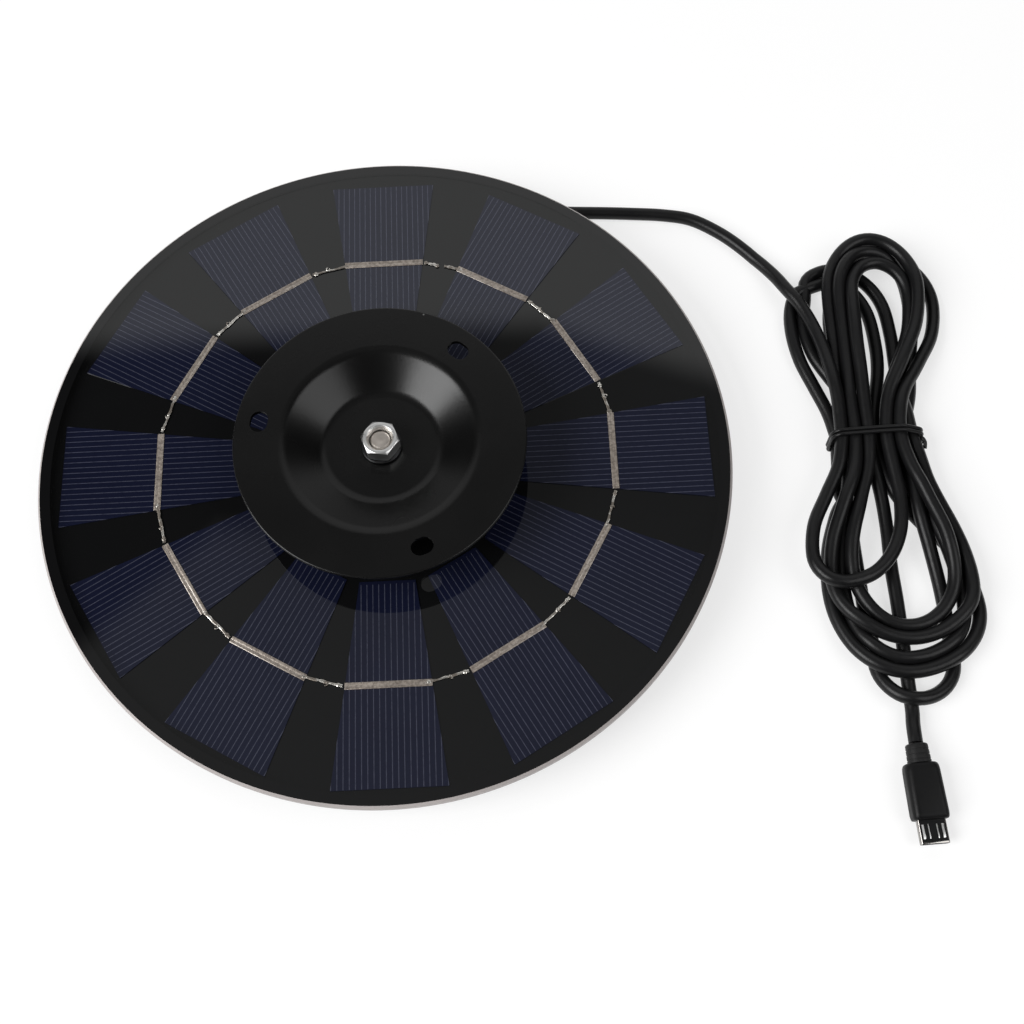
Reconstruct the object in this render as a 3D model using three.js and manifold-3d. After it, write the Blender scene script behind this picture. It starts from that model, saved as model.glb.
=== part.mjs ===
// Round photovoltaic panel with a raised centre flange and a corded micro-USB lead, in millimetres, +Z up.
// The origin is the centre of the panel on the surface it stands on; the lead lies on that surface at +X.
import * as THREE from "three";
import { mergeVertices } from "three/addons/utils/BufferGeometryUtils.js";
import Module from "manifold-3d";

const wasm = await Module();
wasm.setup();

// ---------- driving dimensions ----------
const PANEL_RADIUS = 87.5;
const GLASS_THICKNESS = 3.2;
const GLASS_CHAMFER = 0.4;
const LAMINATE_INSET = 1.0; // the black layers stop this far inside the glass edge
const LAYER_GAP = 0.05;
const BACK_SHEET_THICKNESS = 0.4;
const FILM_THICKNESS = 0.4;
const CENTRE_HOLE_RADIUS = 3.6;

const CELL_COUNT = 12;
const CELL_THICKNESS = 0.2;
const CELL_OUTER_APOTHEM = 82.5;
const CELL_INNER_APOTHEM = 32;
const CELL_OUTER_WIDTH = 27.8;
const CELL_INNER_WIDTH = 13.8;
const BUSBAR_APOTHEM = 57.9;
const BUSBAR_WIDTH = 1.7;
const BUSBAR_LENGTH = 21;
const RIBBON_THICKNESS = 0.15;
const LINK_WIDTH = 0.8;
const LINK_KNOB_RADIUS = 0.9;
const LINK_SHARE = 0.94; // of the gap between two busbars
const TAB_GAP = 0.5; // between the return tab and the busbar beside it
const LAST_LINK_SHARE = 0.38; // the string ends here, short of the return tab
const STRING_START = 90; // degrees; the first cell of the string, which runs counterclockwise

const FOOT_HEIGHT = 1.4;
const FOOT_RADIUS = 4.5;
const FOOT_PITCH_RADIUS = 31.5;
const COVER_THICKNESS = 1.8;
const HOUSING_RADIUS = 40;
const HOUSING_HEIGHT = 6.3;
const HOUSING_WALL = 2;
const SCREW_PITCH_RADIUS = 32;
const SCREW_RADIUS = 1.2;
const SCREW_HEAD_RADIUS = 2.6;
const SCREW_HEAD_HEIGHT = 1.1;
const BOSS_RADIUS = 3.2;
const QUARTERS = 4;

const FLANGE_RADIUS = 36;
const FLANGE_SHEET = 1.2;
const FLANGE_RISE = 11.4; // ring face above the glass
const DISH_DEPTH = 5.6;
const DISH_TOP_RADIUS = 24;
const DISH_FLOOR_RADIUS = 14.6;
const SCREW_HOLE_PITCH_RADIUS = 30.2;
const SCREW_HOLE_RADIUS = 2.15;
const SCREW_HOLE_STRETCH = 0.6; // half of the slot's extra length round the flange
const SCREW_HOLE_PHASE = 49; // degrees
const SCREW_HOLE_COUNT = 3;

const THREAD_RADIUS = 2.5;
const NUT_ACROSS_FLATS = 8.4;
const NUT_HEIGHT = 4.3;
const NUT_BORE_RADIUS = 2.7;
const NUT_MOUTH_RADIUS = 3.35;
const NUT_TURN = -9; // degrees
const STUD_RECESS = 1.1; // the stud ends this far below the nut's top face
const STUD_HEAD_HEIGHT = 3.4;
const STUD_HEAD_RADIUS = 4.6;
const WASHER_RADIUS = 5;
const WASHER_THICKNESS = 0.9;
const RUNNING_GAP = 0.1;

const GLAND_ANGLE = 75; // degrees round the housing
const GLAND_HEIGHT = 5.45; // centre line above the floor
const GLAND_LENGTH = 17; // outside the housing wall
const CORD_RADIUS = 1.75;
const CORD_SIDES = 8;
const CORD_JOINT_GAP = 0.3;

const HANK_BASE = 1.4;
const HANK_HEIGHT = 9.6;
const TIE_Y = 3;
const TIE_RADIUS = 0.55;
const TIE_CORNER_RADIUS = 1.2;
const TIE_STEPS = 44;
const WAIST_WEST = 115.4; // the hank's narrowest place, where the tie holds it
const WAIST_EAST = 139.6;

const PLUG_X = 125.5;
const PLUG_Y = -76.6; // back end of the strain relief
const PLUG_YAW = 2; // degrees
const PLUG_BODY_WIDTH = 9.7;
const PLUG_BODY_LENGTH = 12.8;
const PLUG_BODY_THICKNESS = 6;
const PLUG_RELIEF_LENGTH = 4.6;
const PLUG_SHELL_WIDTH = 6.85;
const PLUG_SHELL_THICKNESS = 1.85;
const PLUG_SHELL_LENGTH = 6;
const PLUG_SHELL_WALL = 0.3;

// ---------- heights worked out from the floor up ----------
const COVER_Z = FOOT_HEIGHT + LAYER_GAP;
const HOUSING_Z = COVER_Z + COVER_THICKNESS + LAYER_GAP;
const HOUSING_TOP = HOUSING_Z + HOUSING_HEIGHT;
const ROOF_UNDERSIDE = HOUSING_TOP - HOUSING_WALL;
const FOAM_Z = HOUSING_TOP + LAYER_GAP;
const FOAM_THICKNESS = 0.6;
const BACK_SHEET_Z = FOAM_Z + FOAM_THICKNESS + LAYER_GAP;
const FILM_Z = BACK_SHEET_Z + BACK_SHEET_THICKNESS + LAYER_GAP;
const CELL_Z = FILM_Z + FILM_THICKNESS + LAYER_GAP;
const RIBBON_Z = CELL_Z + CELL_THICKNESS + LAYER_GAP;
const GLASS_Z = RIBBON_Z + RIBBON_THICKNESS + LAYER_GAP;
const GLASS_TOP = GLASS_Z + GLASS_THICKNESS;
const FLANGE_TOP = GLASS_TOP + FLANGE_RISE;
const DISH_FLOOR = FLANGE_TOP - DISH_DEPTH;
const DISH_UNDERSIDE = DISH_FLOOR - FLANGE_SHEET;
const WASHER_Z = DISH_FLOOR + RUNNING_GAP;
const NUT_Z = WASHER_Z + WASHER_THICKNESS + RUNNING_GAP;
const NUT_TOP = NUT_Z + NUT_HEIGHT;

// ---------- materials ----------
const finish = (color, roughness, metalness = 0) =>
  new THREE.MeshStandardMaterial({ color, roughness, metalness });
const GLASS = finish(0x9aa0a6, 0.08);
const BLACK_SHEET = finish(0x1c1c1e, 0.4);
const FILM = finish(0x242427, 0.3);
const SILICON = finish(0x262a3e, 0.3);
const TINNED = finish(0xa59b91, 0.4, 1);
const FLANGE_PAINT = finish(0x1e1e1f, 0.45);
const ZINC = finish(0xd2d4d4, 0.25, 1);
const STEEL = finish(0xa89f98, 0.4, 1);
const BLACK_STEEL = finish(0x2a2a2c, 0.4, 1);
const ABS = finish(0x18181a, 0.5);
const SEAL_RUBBER = finish(0x141415, 0.8);
const NYLON = finish(0x2b2b2d, 0.6);
const CORD_JACKET = finish(0x1b1b1d, 0.5);
const BOARD_GREEN = finish(0x1f5a3a, 0.5);
const FERRITE = finish(0x3a3a3e, 0.7);
const RED_WIRE = finish(0xa02020, 0.5);
const BLACK_WIRE = finish(0x151515, 0.5);

// ---------- geometry helpers ----------
const radians = THREE.MathUtils.degToRad;
const group = new THREE.Group();

// Keeps the positions only, joins shared vertices and turns an inside-out surface round.
function closed(geometry) {
  const plain = geometry.clone();
  plain.deleteAttribute("normal");
  plain.deleteAttribute("uv");
  const merged = mergeVertices(plain, 1e-4);
  const p = merged.getAttribute("position");
  const index = Array.from(merged.index.array);
  const corners = [0, 1, 2].map(() => new THREE.Vector3());
  let volume = 0;
  for (let i = 0; i < index.length; i += 3) {
    corners.forEach((corner, k) => corner.fromBufferAttribute(p, index[i + k]));
    volume += corners[0].dot(corners[1].cross(corners[2]));
  }
  if (volume < 0) index.reverse();
  return merged.setIndex(index);
}

function toManifold(geometry) {
  const source = closed(geometry);
  return new wasm.Manifold(
    new wasm.Mesh({
      numProp: 3,
      vertProperties: new Float32Array(source.getAttribute("position").array),
      triVerts: new Uint32Array(source.index.array),
    }),
  );
}

function fromManifold(solid) {
  const { vertProperties, triVerts } = solid.getMesh();
  return new THREE.BufferGeometry()
    .setAttribute("position", new THREE.BufferAttribute(vertProperties, 3))
    .setIndex(new THREE.BufferAttribute(triVerts, 1));
}

const join = (base, ...others) =>
  fromManifold(others.reduce((sum, o) => sum.add(toManifold(o)), toManifold(base)));
const cut = (base, ...tools) =>
  fromManifold(tools.reduce((rest, t) => rest.subtract(toManifold(t)), toManifold(base)));
const common = (a, b) => fromManifold(toManifold(a).intersect(toManifold(b)));

// Turns a profile of [radius, height] pairs round +Z. A profile that misses the axis closes on itself.
function turned(profile, segments = 48) {
  const onAxis = profile[0][0] === 0;
  const ring = onAxis ? profile : [...profile, profile[0]];
  const points = ring.map(([r, z]) => new THREE.Vector2(r, z));
  return closed(new THREE.LatheGeometry(points, segments).rotateX(Math.PI / 2));
}

const disc = (radius, z, height, segments) =>
  turned([[0, z], [radius, z], [radius, z + height], [0, z + height]], segments);
const ring = (inner, outer, z, height, segments) =>
  turned([[inner, z], [outer, z], [outer, z + height], [inner, z + height]], segments);

// Raises a flat shape drawn in X and Y from height z.
function raised(shape, z, height) {
  const options = { depth: height, bevelEnabled: false, curveSegments: 6 };
  return closed(new THREE.ExtrudeGeometry(shape, options).translate(0, 0, z));
}

function polygon(points) {
  return new THREE.Shape(points.map(([x, y]) => new THREE.Vector2(x, y)));
}

function regular(sides, radius, phase = 0) {
  const corner = (i) => phase + (i * 2 * Math.PI) / sides;
  return polygon(
    Array.from({ length: sides }, (_, i) => [
      radius * Math.cos(corner(i)),
      radius * Math.sin(corner(i)),
    ]),
  );
}

const block = (x, y, z, width, depth, height) =>
  new THREE.BoxGeometry(width, depth, height).translate(x, y, z + height / 2);

function roundedPlate(width, depth, radius) {
  const [w, d] = [width / 2 - radius, depth / 2 - radius];
  const shape = new THREE.Shape();
  shape.absarc(w, d, radius, 0, Math.PI / 2);
  shape.absarc(-w, d, radius, Math.PI / 2, Math.PI);
  shape.absarc(-w, -d, radius, Math.PI, 1.5 * Math.PI);
  shape.absarc(w, -d, radius, 1.5 * Math.PI, 2 * Math.PI);
  return shape;
}

// A tube of the given radius along a smooth curve through the points.
function tube(points, radius, sides, steps, closedPath = false) {
  const extrudePath = new THREE.CatmullRomCurve3(
    points.map((p) => new THREE.Vector3(...p)),
    closedPath,
    "centripetal",
  );
  return closed(new THREE.ExtrudeGeometry(regular(sides, radius), { steps, extrudePath }));
}

function add(name, geometry, material, parent = group) {
  const mesh = new THREE.Mesh(geometry, material);
  mesh.name = name;
  parent.add(mesh);
  return mesh;
}

const numbered = (stem, i) => `${stem}_${String(i + 1).padStart(2, "0")}`;

// ---------- laminated panel ----------
function laminate() {
  const c = GLASS_CHAMFER;
  const glassProfile = [
    [CENTRE_HOLE_RADIUS, GLASS_Z],
    [PANEL_RADIUS - c, GLASS_Z],
    [PANEL_RADIUS, GLASS_Z + c],
    [PANEL_RADIUS, GLASS_TOP - c],
    [PANEL_RADIUS - c, GLASS_TOP],
    [CENTRE_HOLE_RADIUS, GLASS_TOP],
  ];
  const layerRadius = PANEL_RADIUS - LAMINATE_INSET;
  const sheet = ring(CENTRE_HOLE_RADIUS, layerRadius, BACK_SHEET_Z, BACK_SHEET_THICKNESS, 72);
  const film = ring(CENTRE_HOLE_RADIUS, layerRadius, FILM_Z, FILM_THICKNESS, 72);
  add("front_glass", turned(glassProfile, 96), GLASS);
  add("encapsulant_film", film, FILM);
  add("back_sheet", sheet, BLACK_SHEET);
}

// One trapezoid silicon cell, its outer edge square to the radius.
function cellGeometry() {
  const [inner, outer] = [CELL_INNER_WIDTH / 2, CELL_OUTER_WIDTH / 2];
  const outline = polygon([
    [CELL_INNER_APOTHEM, -inner],
    [CELL_OUTER_APOTHEM, -outer],
    [CELL_OUTER_APOTHEM, outer],
    [CELL_INNER_APOTHEM, inner],
  ]);
  return raised(outline, CELL_Z, CELL_THICKNESS);
}

const STEP_ANGLE = (2 * Math.PI) / CELL_COUNT;
const BUSBAR_TIP = [BUSBAR_APOTHEM, BUSBAR_LENGTH / 2];
const TIP_RADIUS = Math.hypot(...BUSBAR_TIP);
const TIP_ANGLE = Math.atan2(BUSBAR_TIP[1], BUSBAR_TIP[0]);
const onCircle = (radius, angle) => [radius * Math.cos(angle), radius * Math.sin(angle)];
// Where the link meets the next cell's busbar, and the middle of the gap between them.
const NEXT_TIP = onCircle(TIP_RADIUS, STEP_ANGLE - TIP_ANGLE);
const GAP_MIDDLE = onCircle(TIP_RADIUS * Math.cos(STEP_ANGLE / 2 - TIP_ANGLE), STEP_ANGLE / 2);

// A thin strip of the given width between two points.
function strip([x0, y0], [x1, y1], width) {
  const length = Math.hypot(x1 - x0, y1 - y0);
  const [nx, ny] = [(-(y1 - y0) / length) * (width / 2), ((x1 - x0) / length) * (width / 2)];
  return polygon([[x0 - nx, y0 - ny], [x1 - nx, y1 - ny], [x1 + nx, y1 + ny], [x0 + nx, y0 + ny]]);
}

// The ribbon on one cell, with the thin link that crosses this share of the gap to the next cell.
function ribbonGeometry(linkShare) {
  const [x, half] = BUSBAR_TIP;
  const end = [x + (NEXT_TIP[0] - x) * linkShare, half + (NEXT_TIP[1] - half) * linkShare];
  const bar = polygon([
    [x - BUSBAR_WIDTH / 2, -half],
    [x + BUSBAR_WIDTH / 2, -half],
    [x + BUSBAR_WIDTH / 2, half],
    [x - BUSBAR_WIDTH / 2, half],
  ]);
  const link = raised(strip([x, half - LINK_WIDTH], end, LINK_WIDTH), RIBBON_Z, RIBBON_THICKNESS);
  const base = join(raised(bar, RIBBON_Z, RIBBON_THICKNESS), link);
  if (linkShare < LINK_SHARE) return base;
  const knob = disc(LINK_KNOB_RADIUS, RIBBON_Z, RIBBON_THICKNESS, 10);
  return join(base, knob.translate(GAP_MIDDLE[0], GAP_MIDDLE[1], 0));
}

function cellString() {
  const cell = cellGeometry();
  const linked = ribbonGeometry(LINK_SHARE);
  const last = ribbonGeometry(LAST_LINK_SHARE);
  const string = new THREE.Group();
  string.rotation.z = radians(STRING_START);
  for (let i = 0; i < CELL_COUNT; i++) {
    add(numbered("cell", i), cell, SILICON, string).rotation.z = i * STEP_ANGLE;
    const ribbon = i === CELL_COUNT - 1 ? last : linked;
    add(numbered("ribbon", i), ribbon, TINNED, string).rotation.z = i * STEP_ANGLE;
  }
  const start = [BUSBAR_APOTHEM, -BUSBAR_LENGTH / 2 - TAB_GAP];
  const tab = strip(start, [GAP_MIDDLE[0], TAB_GAP - GAP_MIDDLE[1]], LINK_WIDTH);
  add("string_return_tab", raised(tab, RIBBON_Z, RIBBON_THICKNESS), TINNED, string);
  group.add(string);
}

// ---------- centre mount ----------
// The pressed flange: a flat ring, a soft bend, a slope and a flat floor with the stud hole.
function flangeGeometry() {
  const t = FLANGE_SHEET;
  const edge = 0.4;
  const bend = 2.4; // the bends take this much of the radius either side of a corner
  const fall = 0.55; // and drop this much
  const top = [
    [THREAD_RADIUS + 0.3, DISH_FLOOR],
    [DISH_FLOOR_RADIUS, DISH_FLOOR],
    [DISH_FLOOR_RADIUS + bend / 2, DISH_FLOOR + fall / 2],
    [DISH_FLOOR_RADIUS + bend, DISH_FLOOR + 3 * fall / 2],
    [DISH_TOP_RADIUS - bend, FLANGE_TOP - 3 * fall / 2],
    [DISH_TOP_RADIUS - bend / 2, FLANGE_TOP - fall / 2],
    [DISH_TOP_RADIUS, FLANGE_TOP],
    [FLANGE_RADIUS - edge, FLANGE_TOP],
    [FLANGE_RADIUS, FLANGE_TOP - edge],
  ];
  const under = top.slice(0, -2).map(([r, z]) => [r, z - t]).reverse();
  const profile = [...top, [FLANGE_RADIUS, FLANGE_TOP - t], ...under];
  const holes = Array.from({ length: SCREW_HOLE_COUNT }, (_, i) => {
    const slot = roundedPlate(
      2 * SCREW_HOLE_RADIUS,
      2 * (SCREW_HOLE_RADIUS + SCREW_HOLE_STRETCH),
      SCREW_HOLE_RADIUS,
    );
    const angle = radians(SCREW_HOLE_PHASE) + (i * 2 * Math.PI) / SCREW_HOLE_COUNT;
    return raised(slot, FLANGE_TOP - 3 * t, 6 * t)
      .translate(SCREW_HOLE_PITCH_RADIUS, 0, 0)
      .rotateZ(angle);
  });
  return cut(turned(profile, 60), ...holes);
}

// A hexagon nut with both faces chamfered round and a wide mouth at the top of its thread.
function nutGeometry() {
  const corner = NUT_ACROSS_FLATS / Math.sqrt(3);
  const round = NUT_ACROSS_FLATS / 2 + 0.1;
  const rise = 0.55;
  const envelope = turned([
    [NUT_BORE_RADIUS, NUT_Z],
    [round, NUT_Z],
    [corner + 0.05, NUT_Z + rise],
    [corner + 0.05, NUT_TOP - rise],
    [round, NUT_TOP],
    [NUT_MOUTH_RADIUS, NUT_TOP],
    [NUT_BORE_RADIUS, NUT_TOP - 1.2],
  ], 36);
  const prism = raised(regular(6, corner), NUT_Z - 1, NUT_HEIGHT + 2);
  return common(prism, envelope).rotateZ(radians(NUT_TURN));
}

function studGeometry() {
  const headTop = ROOF_UNDERSIDE - LAYER_GAP;
  const head = raised(regular(6, STUD_HEAD_RADIUS), headTop - STUD_HEAD_HEIGHT, STUD_HEAD_HEIGHT);
  const end = NUT_TOP - STUD_RECESS;
  const shank = turned([
    [0, headTop - 1],
    [THREAD_RADIUS, headTop - 1],
    [THREAD_RADIUS, end - 0.5],
    [THREAD_RADIUS - 0.5, end],
    [0, end],
  ], 24);
  return join(head, shank);
}

function centreMount() {
  const gasketHeight = 1;
  const spacerZ = GLASS_TOP + gasketHeight + 2 * LAYER_GAP;
  const spacerHeight = DISH_UNDERSIDE - RUNNING_GAP - spacerZ;
  const bore = THREAD_RADIUS + 0.2;
  const bushHeight = GLASS_TOP - BACK_SHEET_Z;
  const bushWall = CENTRE_HOLE_RADIUS - LAYER_GAP;
  add("stud", studGeometry(), STEEL);
  add("centre_bush", ring(bore, bushWall, BACK_SHEET_Z, bushHeight, 24), NYLON);
  add("glass_gasket", ring(bore, 9, GLASS_TOP + LAYER_GAP, gasketHeight, 32), SEAL_RUBBER);
  add("spacer", ring(bore, 7, spacerZ, spacerHeight, 32), NYLON);
  add("flange", flangeGeometry(), FLANGE_PAINT);
  add("nut_washer", ring(bore, WASHER_RADIUS, WASHER_Z, WASHER_THICKNESS, 32), BLACK_STEEL);
  add("hex_nut", nutGeometry(), ZINC);
}

// ---------- rear housing ----------
const quarter = (i, offset = 0) => radians(offset + (i * 360) / QUARTERS);
const atAngle = (geometry, radius, angle) => geometry.translate(...onCircle(radius, angle), 0);

function glandPlace(geometry) {
  return geometry
    .rotateY(Math.PI / 2)
    .translate(HOUSING_RADIUS, 0, GLAND_HEIGHT)
    .rotateZ(radians(GLAND_ANGLE));
}

const WIRE_RADIUS = 0.6;
const WIRE_SPOTS = [[-14, 14], [-14, 19]];
const BOARD = { x: 1, y: 20.5, width: 28, depth: 15, thickness: 1, z: HOUSING_Z + 0.6 };

function housingGeometry() {
  const inside = HOUSING_RADIUS - HOUSING_WALL;
  const shell = turned([
    [THREAD_RADIUS + 0.2, ROOF_UNDERSIDE],
    [inside, ROOF_UNDERSIDE],
    [inside, HOUSING_Z],
    [HOUSING_RADIUS, HOUSING_Z],
    [HOUSING_RADIUS, HOUSING_TOP - 0.8],
    [HOUSING_RADIUS - 0.8, HOUSING_TOP],
    [THREAD_RADIUS + 0.2, HOUSING_TOP],
  ], 48);
  const depth = ROOF_UNDERSIDE - HOUSING_Z + 0.5;
  const bosses = Array.from({ length: QUARTERS }, (_, i) =>
    atAngle(disc(BOSS_RADIUS, HOUSING_Z, depth, 20), SCREW_PITCH_RADIUS, quarter(i, 45)));
  const pilots = Array.from({ length: QUARTERS }, (_, i) =>
    atAngle(disc(SCREW_RADIUS + 0.15, HOUSING_Z - 1, depth, 12), SCREW_PITCH_RADIUS, quarter(i, 45)));
  const wireHoles = WIRE_SPOTS.map(([x, y]) =>
    disc(WIRE_RADIUS + 0.5, ROOF_UNDERSIDE - 1, HOUSING_WALL + 2, 12).translate(x, y, 0));
  const glandHole = glandPlace(disc(2.15, -2 * HOUSING_WALL, 4 * HOUSING_WALL, 20));
  return cut(join(shell, ...bosses), ...pilots, ...wireHoles, glandHole);
}

function coverGeometry() {
  const plate = turned([
    [0, COVER_Z],
    [HOUSING_RADIUS - 0.8, COVER_Z],
    [HOUSING_RADIUS, COVER_Z + 0.8],
    [HOUSING_RADIUS, COVER_Z + COVER_THICKNESS],
    [0, COVER_Z + COVER_THICKNESS],
  ], 48);
  const cuts = Array.from({ length: QUARTERS }, (_, i) => {
    const sink = disc(SCREW_HEAD_RADIUS + 0.3, COVER_Z - 1, 1 + SCREW_HEAD_HEIGHT, 20);
    const hole = disc(SCREW_RADIUS + 0.2, COVER_Z - 1, COVER_THICKNESS + 2, 20);
    return atAngle(join(sink, hole), SCREW_PITCH_RADIUS, quarter(i, 45));
  });
  return cut(plate, ...cuts);
}

// A pan-head screw pointing up, with a cross recess in its head.
function screwGeometry() {
  const headTop = COVER_Z + SCREW_HEAD_HEIGHT - LAYER_GAP;
  const shankTop = ROOF_UNDERSIDE - 0.8;
  const body = turned([
    [0, COVER_Z + 0.1],
    [SCREW_HEAD_RADIUS - 0.5, COVER_Z + 0.1],
    [SCREW_HEAD_RADIUS, COVER_Z + 0.5],
    [SCREW_HEAD_RADIUS, headTop],
    [SCREW_RADIUS, headTop],
    [SCREW_RADIUS, shankTop - 0.8],
    [0, shankTop],
  ], 20);
  const slot = 0.5;
  const arms = [block(0, 0, COVER_Z, 3, slot, 0.6), block(0, 0, COVER_Z, slot, 3, 0.6)];
  return cut(body, join(...arms));
}

function glandGeometry() {
  const wall = HOUSING_WALL + 0.3;
  return glandPlace(turned([
    [0, -wall - 1.2],
    [1.7, -wall - 1.2],
    [2, -wall - 0.6],
    [2, 0.3],
    [3.1, 0.3],
    [3.1, 2],
    [2.8, 3],
    [CORD_RADIUS + 0.35, GLAND_LENGTH],
    [0, GLAND_LENGTH],
  ], 20));
}

function wireGeometry([x, y], boardX) {
  const padZ = BOARD.z + BOARD.thickness + 0.1;
  return tube([
    [x, y, BACK_SHEET_Z - LAYER_GAP],
    [x, y, HOUSING_TOP - 0.5],
    [x, y, ROOF_UNDERSIDE + 0.3],
    [x + 0.8, y, padZ + WIRE_RADIUS + 0.7],
    [boardX, y, padZ + WIRE_RADIUS],
  ], WIRE_RADIUS, 8, 10);
}

function rearHousing() {
  add("housing", housingGeometry(), ABS);
  const foam = ring(HOUSING_RADIUS - 9, HOUSING_RADIUS - 1.5, FOAM_Z, FOAM_THICKNESS, 48);
  add("housing_gasket", foam, SEAL_RUBBER);
  add("rear_cover", coverGeometry(), ABS);
  add("cable_gland", glandGeometry(), SEAL_RUBBER);
  for (let i = 0; i < QUARTERS; i++) {
    const screw = atAngle(screwGeometry(), SCREW_PITCH_RADIUS, quarter(i, 45));
    const foot = disc(FOOT_RADIUS, 0, FOOT_HEIGHT, 24);
    add(`cover_screw_${i + 1}`, screw, BLACK_STEEL);
    add(`foot_${i + 1}`, atAngle(foot, FOOT_PITCH_RADIUS, quarter(i)), SEAL_RUBBER);
  }
  const boardTop = BOARD.z + BOARD.thickness;
  const plate = block(BOARD.x, BOARD.y, BOARD.z, BOARD.width, BOARD.depth, BOARD.thickness);
  add("regulator_board", plate, BOARD_GREEN);
  add("inductor", block(9, 21, boardTop + LAYER_GAP, 6, 6, 1.7), FERRITE);
  add("regulator_chip", block(1, 19, boardTop + LAYER_GAP, 4, 5, 1.2), BLACK_SHEET);
  add("plus_wire", wireGeometry(WIRE_SPOTS[0], -4), RED_WIRE);
  add("minus_wire", wireGeometry(WIRE_SPOTS[1], -4), BLACK_WIRE);
}

// ---------- lead ----------
// The stretch from the gland to the hank, laid on the floor and lifted over the first loops.
const GLAND_END_RADIUS = HOUSING_RADIUS + GLAND_LENGTH + CORD_JOINT_GAP;
const glandDirection = [Math.cos(radians(GLAND_ANGLE)), Math.sin(radians(GLAND_ANGLE))];
const alongGland = (distance, z) => [
  glandDirection[0] * (GLAND_END_RADIUS + distance),
  glandDirection[1] * (GLAND_END_RADIUS + distance),
  z,
];
const LEAD_OUT = [
  alongGland(0, GLAND_HEIGHT),
  alongGland(3, 5.2),
  alongGland(8, 3.8),
  alongGland(13, 2.4),
  [20.5, 73.2, 1.8],
  [27, 77.2, 1.8],
  [35, 78.6, 1.8],
  [44, 78.3, 1.8],
  [53.3, 77.6, 1.8],
  [62, 77, 1.8],
  [70, 76.3, 1.8],
  [78, 75.4, 1.8],
  [85.5, 73.6, 1.8],
  [93, 68.9, 1.8],
  [98.5, 63.9, 1.8],
  [103.6, 58, 1.8],
  [107.2, 52.6, 2.2],
  [109.4, 48.2, 2.8],
];
// The stretch from the hank to the plug.
const LEAD_TAIL = [
  [126.2, -68.8, 1.8],
  [125.9, -71, 2],
  [125.6, -73.6, 2.7],
  [125.5, -75.2, 3],
  [PLUG_X, PLUG_Y + CORD_JOINT_GAP, 3],
];
// Plan of the bundle of loops, counterclockwise from its waist, which the tie holds.
const HANK_OUTLINE = [
  [WAIST_EAST, TIE_Y],
  [142, 15],
  [148, 28],
  [151.2, 40],
  [150.2, 51],
  [144, 59.5],
  [134, 63.6],
  [123, 60.5],
  [113.2, 51.5],
  [108, 41],
  [108.4, 30],
  [112.4, 16],
  [WAIST_WEST, TIE_Y],
  [112.4, -8],
  [106, -18],
  [103.2, -29],
  [105.4, -39.5],
  [110.4, -49.5],
  [115.4, -59.5],
  [121.5, -66.2],
  [130, -68.2],
  [137.8, -66],
  [144.5, -57.5],
  [148.8, -46],
  [148, -33],
  [143.6, -18],
  [140.4, -6],
];

function hankGeometry() {
  const corners = HANK_OUTLINE.map(([x, y]) => new THREE.Vector3(x, y, 0));
  const outline = new THREE.CatmullRomCurve3(corners, true, "centripetal");
  const plan = polygon(outline.getPoints(72).slice(0, -1).map((p) => [p.x, p.y]));
  return raised(plan, HANK_BASE, HANK_HEIGHT);
}

// The wire tie, one closed loop round the waist of the hank.
function tieGeometry() {
  const clearance = TIE_RADIUS + CORD_JOINT_GAP;
  const width = WAIST_EAST - WAIST_WEST + 2 * clearance + CORD_JOINT_GAP;
  const loop = roundedPlate(width, HANK_HEIGHT + 2 * clearance, TIE_CORNER_RADIUS).closePath();
  const middle = (WAIST_WEST + WAIST_EAST) / 2;
  const centre = HANK_BASE + HANK_HEIGHT / 2;
  const path = loop
    .getSpacedPoints(TIE_STEPS)
    .slice(0, -1)
    .map((p) => [middle + p.x, TIE_Y, centre + p.y]);
  return tube(path, TIE_RADIUS, 6, TIE_STEPS, true);
}

// The plug lies flat and points along its own -Y, away from the hank.
function plug() {
  const holder = new THREE.Group();
  holder.position.set(PLUG_X, PLUG_Y, PLUG_BODY_THICKNESS / 2);
  holder.rotation.z = radians(PLUG_YAW);
  const forward = (geometry, start) => geometry.rotateX(Math.PI / 2).translate(0, -start, 0);
  const reliefProfile = [
    [0, 0],
    [2.35, 0],
    [2.8, 0.6],
    [2.8, PLUG_RELIEF_LENGTH - CORD_JOINT_GAP],
    [0, PLUG_RELIEF_LENGTH - CORD_JOINT_GAP],
  ];
  const relief = turned(reliefProfile, 20);
  const body = raised(roundedPlate(PLUG_BODY_WIDTH, PLUG_BODY_THICKNESS, 1.8), 0, PLUG_BODY_LENGTH);
  const wall = PLUG_SHELL_WALL;
  const shellShape = roundedPlate(PLUG_SHELL_WIDTH, PLUG_SHELL_THICKNESS, 0.5);
  shellShape.holes.push(
    roundedPlate(PLUG_SHELL_WIDTH - 2 * wall, PLUG_SHELL_THICKNESS - 2 * wall, 0.25),
  );
  const shell = raised(shellShape, 0, PLUG_SHELL_LENGTH);
  const tongue = raised(roundedPlate(4.2, 0.6, 0.2), 0, PLUG_SHELL_LENGTH - 0.8);
  const bodyStart = PLUG_RELIEF_LENGTH;
  const shellStart = bodyStart + PLUG_BODY_LENGTH + LAYER_GAP;
  add("plug_relief", forward(relief, 0), SEAL_RUBBER, holder);
  add("plug_body", forward(body, bodyStart), ABS, holder);
  add("plug_shell", forward(shell, shellStart), STEEL, holder);
  add("plug_tongue", forward(tongue, shellStart), ABS, holder);
  group.add(holder);
}

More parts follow.
